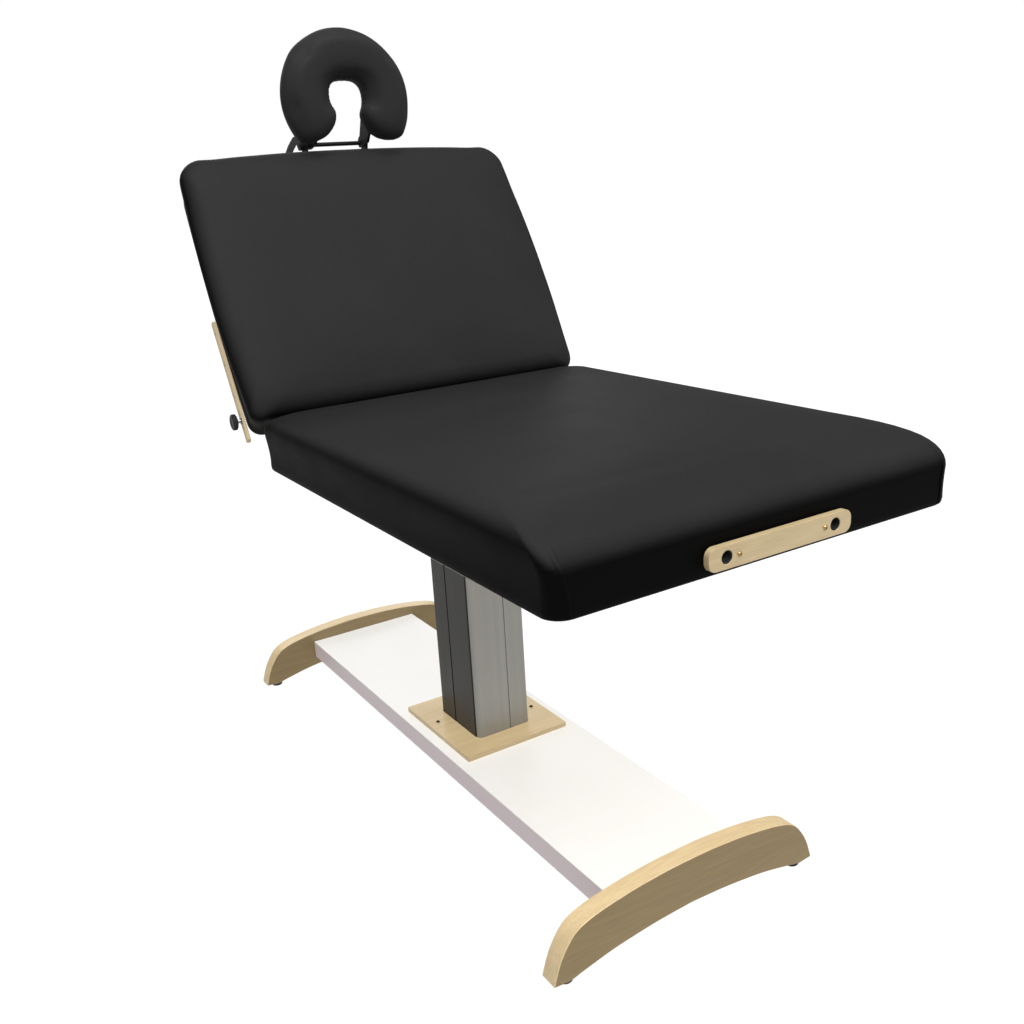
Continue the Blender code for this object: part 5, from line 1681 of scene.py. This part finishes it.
@dataclass
class Plates:
    """Light wood outlet plates and side strips with their fittings."""

    shop: Workshop
    back: Place  # axes of the back section
    hole_spacing: float = 0.2159  # distance between the outlet holes
    hole_r: float = 0.0103  # radius of an outlet hole
    hole_deep: float = 0.060  # depth of the liners
    # screws of a side strip along the back, from its start
    strip_screws: tuple[float, ...] = (0.032, 0.107, 0.181, 0.256)
    strip_start: float = -0.003  # start of a side strip along the back
    strip_face: float = 0.4054  # distance of the strip's screws from the middle
    strip_rise: float = -0.0775  # height of the strip's middle over the hinge line
    bracket_screws: Pair = (0.224, 0.296)  # screws of the strut bracket, along the back
    bracket_half: float = 0.0135  # half of the distance between them across
    bracket_face: float = -0.0918  # height of the strut bracket's face
    knob_tall: float = 0.021  # height of a knob with its stem
    knob_rib: float = 0.0158  # height of the middle of its ribs
    knob_ribs: int = 26  # number of the ribs
    welt_r: float = 0.0086  # radius of the roll along the hinge line
    welt_step: float = 0.012  # length of a step of that roll
    # start and end of each length of that roll
    welt_runs: tuple[Pair, ...] = ((-0.366, -0.285), (-0.195, 0.195), (0.285, 0.366))

    def build(self, screws: dict[str, FittingTree], ribs: FittingTree) -> None:
        """Builds the plates, the hole liners, the screws, the knobs and the hinge roll.

        Args:
            screws: Screw trees by finish.
            ribs: Tree that sets grip ribs.
        """
        self.shop.eased("outlet_plate_foot", "lift", "maple_plate", 0.0022, 3)
        self.shop.eased("outlet_plate_head", "back", "maple_plate", 0.0022, 3)
        self._liners()
        nodes = ("outlet_screw_near", "outlet_screw_far")
        spots = middle_spots(nodes, X_AXIS, Z_AXIS, 0.0004)
        screws["satin_brass"].set_on("outlet_plate_screws", spots, OUTLET_SCREW, "lift", nodes)
        along, normal = Vector(self.back.along), Vector(self.back.normal)
        spots = []
        for _, side in SIDES:
            for step in self.strip_screws:
                here = self.back.at(self.strip_start + step, side * self.strip_face, self.strip_rise)
                spots.append((here, Vector((0, side, 0)), along))
        for reach in self.bracket_screws:
            for _, side in SIDES:
                spots.append((self.back.at(reach, side * self.bracket_half, self.bracket_face), -normal, along))
        screws["zinc_steel"].set_on("back_frame_screws", spots, FRAME_SCREW, "back")
        spots = under_spots("column_top_plate", 0.014, 0.0008)
        screws["zinc_steel"].set_on("top_plate_screws", spots, PLATE_SCREW, "lift")
        for name, side in SIDES:
            self._knob(name, side, ribs)
        self._hinge_welt()

    def _hinge_welt(self) -> None:
        """Lays a covered roll along the hinge line, between the hinge leaves."""
        bm = bmesh.new()
        for start, stop in self.welt_runs:
            steps = max(round((stop - start) / self.welt_step), 4)
            ys = [start + (stop - start) * k / steps for k in range(steps + 1)]
            rod(bm, [Vector(self.back.origin) + Vector((0.0, y, 0.0)) for y in ys], self.welt_r, 14)
        self.shop.piece("hinge_welt", bm, "lift", "black_vinyl", crease=60.0)

    def _knob(self, name: str, side: float, ribs: FittingTree) -> None:
        """Turns one ribbed knob on its plated stem.

        Args:
            name: Side of the table.
            side: Sign of that side.
            ribs: Tree that sets grip ribs.
        """
        node, body = "side_knob_" + name, "knob_" + name
        low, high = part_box(node)
        x, _, z = centre(node)
        foot = max(abs(low[1]), abs(high[1])) - self.knob_tall
        axes = (X_AXIS, Z_AXIS) if side < 0 else (Z_AXIS, X_AXIS)
        place = Place((x, side * foot, z), *axes, (0, side, 0))
        grip = (high[0] - low[0]) / 2 - 0.0010
        bm = bmesh.new()
        lathe(bm, place, [
            (0, 0.0098), (0.0062, 0.0098), (0.0066, 0.0102), (grip - 0.0018, 0.0106), (grip - 0.0004, 0.0114),
            (grip, 0.0126), (grip, 0.0190), (grip - 0.0006, 0.0202), (grip - 0.0020, 0.0209),
            (grip - 0.0050, 0.0210), (grip - 0.0066, 0.0203), (0, 0.0199),
        ], 40)
        self.shop.piece(node + "_turned", bm, body, "black_moulding", (node,), crease=50.0)
        bm = bmesh.new()
        lathe(bm, place, KNOB_STEM, 32)
        self.shop.piece(node + "_stem", bm, body, "zinc_steel", crease=50.0)
        spots = []
        for c, s in circle(self.knob_ribs):
            out = place.at(c, s, 0.0) - place.at(0, 0, 0)
            here = place.at(0, 0, self.knob_rib) + out * (grip - 0.0001)
            spots.append((here, Vector(place.normal), out))
        ribs.set_on(node + "_ribs", spots, GRIP_RIB, body)

    def _liners(self) -> None:
        """Turns the black liners of the foot plate's holes."""
        r, deep = self.hole_r, -self.hole_deep
        profile = [
            (r - 0.0003, deep), (r - 0.0003, -0.0012), (r - 0.0005, -0.0006), (r - 0.0010, -0.0004),
            (r - 0.0015, -0.0008), (r - 0.0018, -0.0020), (r - 0.0018, deep),
        ]
        face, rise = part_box("outlet_plate_foot")[1][0], centre("outlet_plate_foot")[2]
        bm = bmesh.new()
        for _, side in SIDES:
            mouth = replace(FACING_FOOT, origin=(face, side * self.hole_spacing / 2, rise))
            lathe(bm, mouth, profile, 40, closed=True)
        self.shop.piece("outlet_liners_foot", bm, "lift", "black_moulding")


# ---- studio


@dataclass
class Studio:
    """Floor, lights and camera."""

    lens: float = 36.75  # focal length in millimetres
    sensor: float = 36.0  # width of the sensor in millimetres
    azimuth: float = 59.9213  # direction of the camera, in degrees
    elevation: float = 17.2171  # height angle of the camera, in degrees
    roll: float = -3.8049  # roll of the camera, in degrees
    spot: Point = (1.82343, -1.07193, 1.30210)  # place of the camera
    shift: Pair = (0.0246, -0.0039)  # shift of the frame across and up
    floor: float = 60.0  # half of the floor's width
    glow: float = 0.68  # share of the floor's own light
    dome: float = 0.15  # strength of the dome of light

    def build(self) -> None:
        """Builds the whole studio."""
        bpy.context.scene.view_settings.view_transform = "Standard"
        self._camera()
        self._world()
        self._floor()
        self._sun("key_light", (1.0, -0.10, 1.75), 0.75, 35.0)
        self._sun("overhead_light", (0.45, 0.0, 1.0), 3.0, 60.0, False)
        self._sun("side_light", (0.2, -1.0, 0.6), 0.22, 50.0)
        self._sun("rear_light", (-1.0, 0.2, 0.35), 0.55, 50.0)

    def _camera(self) -> None:
        """Sets the camera at the photograph's viewing angle."""
        az, el, roll = (math.radians(a) for a in (self.azimuth, self.elevation, self.roll))
        back = Vector((math.sin(az) * math.cos(el), -math.cos(az) * math.cos(el), math.sin(el)))
        right = Vector(Z_AXIS).cross(back).normalized()
        up = back.cross(right)
        side = math.cos(roll) * right + math.sin(roll) * up
        top = -math.sin(roll) * right + math.cos(roll) * up
        data = bpy.data.cameras.new("camera")
        data.lens, data.sensor_width = self.lens, self.sensor
        data.shift_x, data.shift_y = self.shift
        data.clip_end = 200.0
        camera = new_object("camera", data)
        camera.matrix_world = Matrix.Translation(self.spot) @ Matrix((side, top, back)).transposed().to_4x4()
        bpy.context.scene.camera = camera

    @staticmethod
    def _shown(graph: Graph, unseen: Socket, seen: Socket) -> Socket:
        """Shows the eye one shader and lights the scene by another."""
        eye = graph.add("ShaderNodeLightPath").outputs["Is Camera Ray"]
        return graph.out("ShaderNodeMixShader", {0: eye, 1: unseen, 2: seen})

    def _world(self) -> None:
        """White backdrop with a plain, dimmer dome of light."""
        world = bpy.data.worlds.new("studio")
        bpy.context.scene.world = world
        graph = Graph(emptied(world))
        dome, white = (
            graph.out("ShaderNodeBackground", {"Color": WHITE, "Strength": strength})
            for strength in (self.dome, 1.0)
        )
        graph.add("ShaderNodeOutputWorld", {0: self._shown(graph, dome, white)})

    def _floor(self) -> None:
        """Pale floor that keeps a soft shadow."""
        mesh = bpy.data.meshes.new("studio_floor")
        far = self.floor
        mesh.from_pydata([(-far, -far, 0), (far, -far, 0), (far, far, 0), (-far, far, 0)], [], [(0, 1, 2, 3)])
        floor = new_object("studio_floor", mesh)
        mat = bpy.data.materials.new("studio_floor")
        graph = Graph(emptied(mat))
        plain, pale = (graph.out("ShaderNodeBsdfDiffuse", {"Color": colour}) for colour in (GREY, WHITE))
        glow = graph.out("ShaderNodeEmission", {"Color": WHITE, "Strength": 1.0})
        lifted = graph.out("ShaderNodeMixShader", {0: self.glow, 1: pale, 2: glow})
        graph.add("ShaderNodeOutputMaterial", {0: self._shown(graph, plain, lifted)})
        mesh.materials.append(mat)

    @staticmethod
    def _sun(name: str, source: Point, strength: float, angle: float, shadow: bool = True) -> None:
        """Adds one soft distant light.

        Args:
            name: Name of the light.
            source: Direction that the light comes from.
            strength: Strength of the light.
            angle: Apparent size of the light, in degrees.
            shadow: Whether it casts shadows.
        """
        data = bpy.data.lights.new(name, "SUN")
        data.energy, data.angle, data.use_shadow = strength, math.radians(angle), shadow
        light = new_object(name, data)
        light.rotation_euler = Vector(source).to_track_quat("Z", "Y").to_euler()


# ---- table


SIN60, COS60 = math.sin(math.radians(60)), 0.5
HINGE = Vector((-0.265, 0.0, 0.845))
SEAT_PLACE = Place((-0.256, 0.0, 0.883))
BACK_AXES = Place(tuple(HINGE), (-COS60, 0.0, SIN60), Y_AXIS, (SIN60, 0.0, COS60))
BACK_PLACE = replace(BACK_AXES, origin=tuple(BACK_AXES.at(0.009, 0.0, 0.038)))
CRADLE_PLACE = Place((-0.63704, 0.0, 1.4154), (-0.10453, 0.0, 0.99452), Y_AXIS, (0.99452, 0.0, 0.10453))
SEAT_FORM = PadForm(
    span=1.056, bulge=0.009, side_r=0.044, hinge_r=0.085, end_bulge=0.25 * 0.009, end_r=0.150,
    roll_from=0.060, corner_r=0.028,
)
BACK_FORM = PadForm(
    span=0.609, bulge=0.018, side_r=0.028, hinge_r=0.050, end_bulge=0.7 * 0.014, end_r=0.042,
    roll_from=0.087, corner_r=0.050, taper=0.002, bow=0.010, swell=0.005, top_bow=0.003, top_swell=0.008,
    draw=0.0045,
)
PLAIN_NODES: dict[str, tuple[str, ...]] = {
    "frame_timber": (
        "seat_rail_near", "seat_rail_far", "seat_rail_foot", "seat_rail_hinge", "seat_deck",
        "back_rail_near", "back_rail_far", "back_rail_head", "back_rail_hinge", "back_deck",
        "back_cross_rail", "column_bearer_foot", "column_bearer_head",
    ),
    "zinc_steel": ("lift_push_tube", "hinge_pin_near", "hinge_pin_far"),
}
EASED_NODES: tuple[tuple[str, str, str, float], ...] = (
    ("column_top_plate", "lift", "black_powder_coat", 0.0012),
    ("strut_bracket_seat", "lift", "black_powder_coat", 0.0008),
    ("strut_bracket_back", "back", "black_powder_coat", 0.0008),
    ("strut_tube", "strut_lower", "black_powder_coat", 0.0008),
    ("strut_rod", "strut_upper", "zinc_steel", 0.0006),
    ("strut_pin_seat", "lift", "zinc_steel", 0.0008),
    ("strut_pin_back", "back", "zinc_steel", 0.0008),
    ("hinge_leaf_seat_near", "lift", "zinc_steel", 0.0004),
    ("hinge_leaf_seat_far", "lift", "zinc_steel", 0.0004),
    ("hinge_leaf_back_near", "back", "zinc_steel", 0.0004),
    ("hinge_leaf_back_far", "back", "zinc_steel", 0.0004),
    ("side_strip_near", "back", "maple_upright", 0.0012),
    ("side_strip_far", "back", "maple_upright", 0.0012),
    ("cradle_yoke", "cradle", "black_powder_coat", 0.0010),
    ("cradle_tilt_rod", "cradle", "blackened_steel", 0.0008),
    ("cradle_platform", "headrest", "black_moulding", 0.0010),
    ("cradle_cam_lever", "cam_lever", "black_moulding", 0.0014),
)


def clear_startup() -> None:
    """Removes whatever the startup scene holds."""
    for obj in list(bpy.data.objects):
        bpy.data.objects.remove(obj)


def main() -> None:
    """Dresses the table and reports each piece."""
    logging.basicConfig(level=logging.INFO, format="%(message)s")
    clear_startup()
    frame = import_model()
    shop = Workshop(frame)
    shop.prepare()
    finishes = ("satin_brass", "black_powder_coat", "zinc_steel")
    screws = {name: FittingTree(Fitting.CROSS_SCREW, name, shop) for name in finishes}
    staples = FittingTree(Fitting.STAPLE, "zinc_steel", shop)
    stitches = FittingTree(Fitting.STITCH, "black_vinyl", shop)
    ribs = FittingTree(Fitting.RIB, "black_moulding", shop)
    Studio().build()
    # The seat's crease length lays a painted shadow along its hinge crease.
    Section(shop, "seat", "lift", "seat_pad", SEAT_PLACE, SEAT_FORM, crease=0.27).build(staples)
    Section(shop, "back", "back", "back_pad", BACK_PLACE, BACK_FORM).build(staples)
    FaceCushion(shop, CRADLE_PLACE).build(stitches)
    Base(shop).build(screws)
    Plates(shop, BACK_AXES).build(screws, ribs)
    # Painted shade on the inner column's faces square to Y and in their grooves.
    paint_side_shade(shop.eased("column_inner", "lift", "drawn_aluminium", 0.0004), 1, COLUMN_GROOVE)
    for node, body, finish, width in EASED_NODES:
        shop.eased(node, body, finish, width)
    for finish, nodes in PLAIN_NODES.items():
        for node in nodes:
            shop.coat(node, finish)


if __name__ == "__main__":
    main()
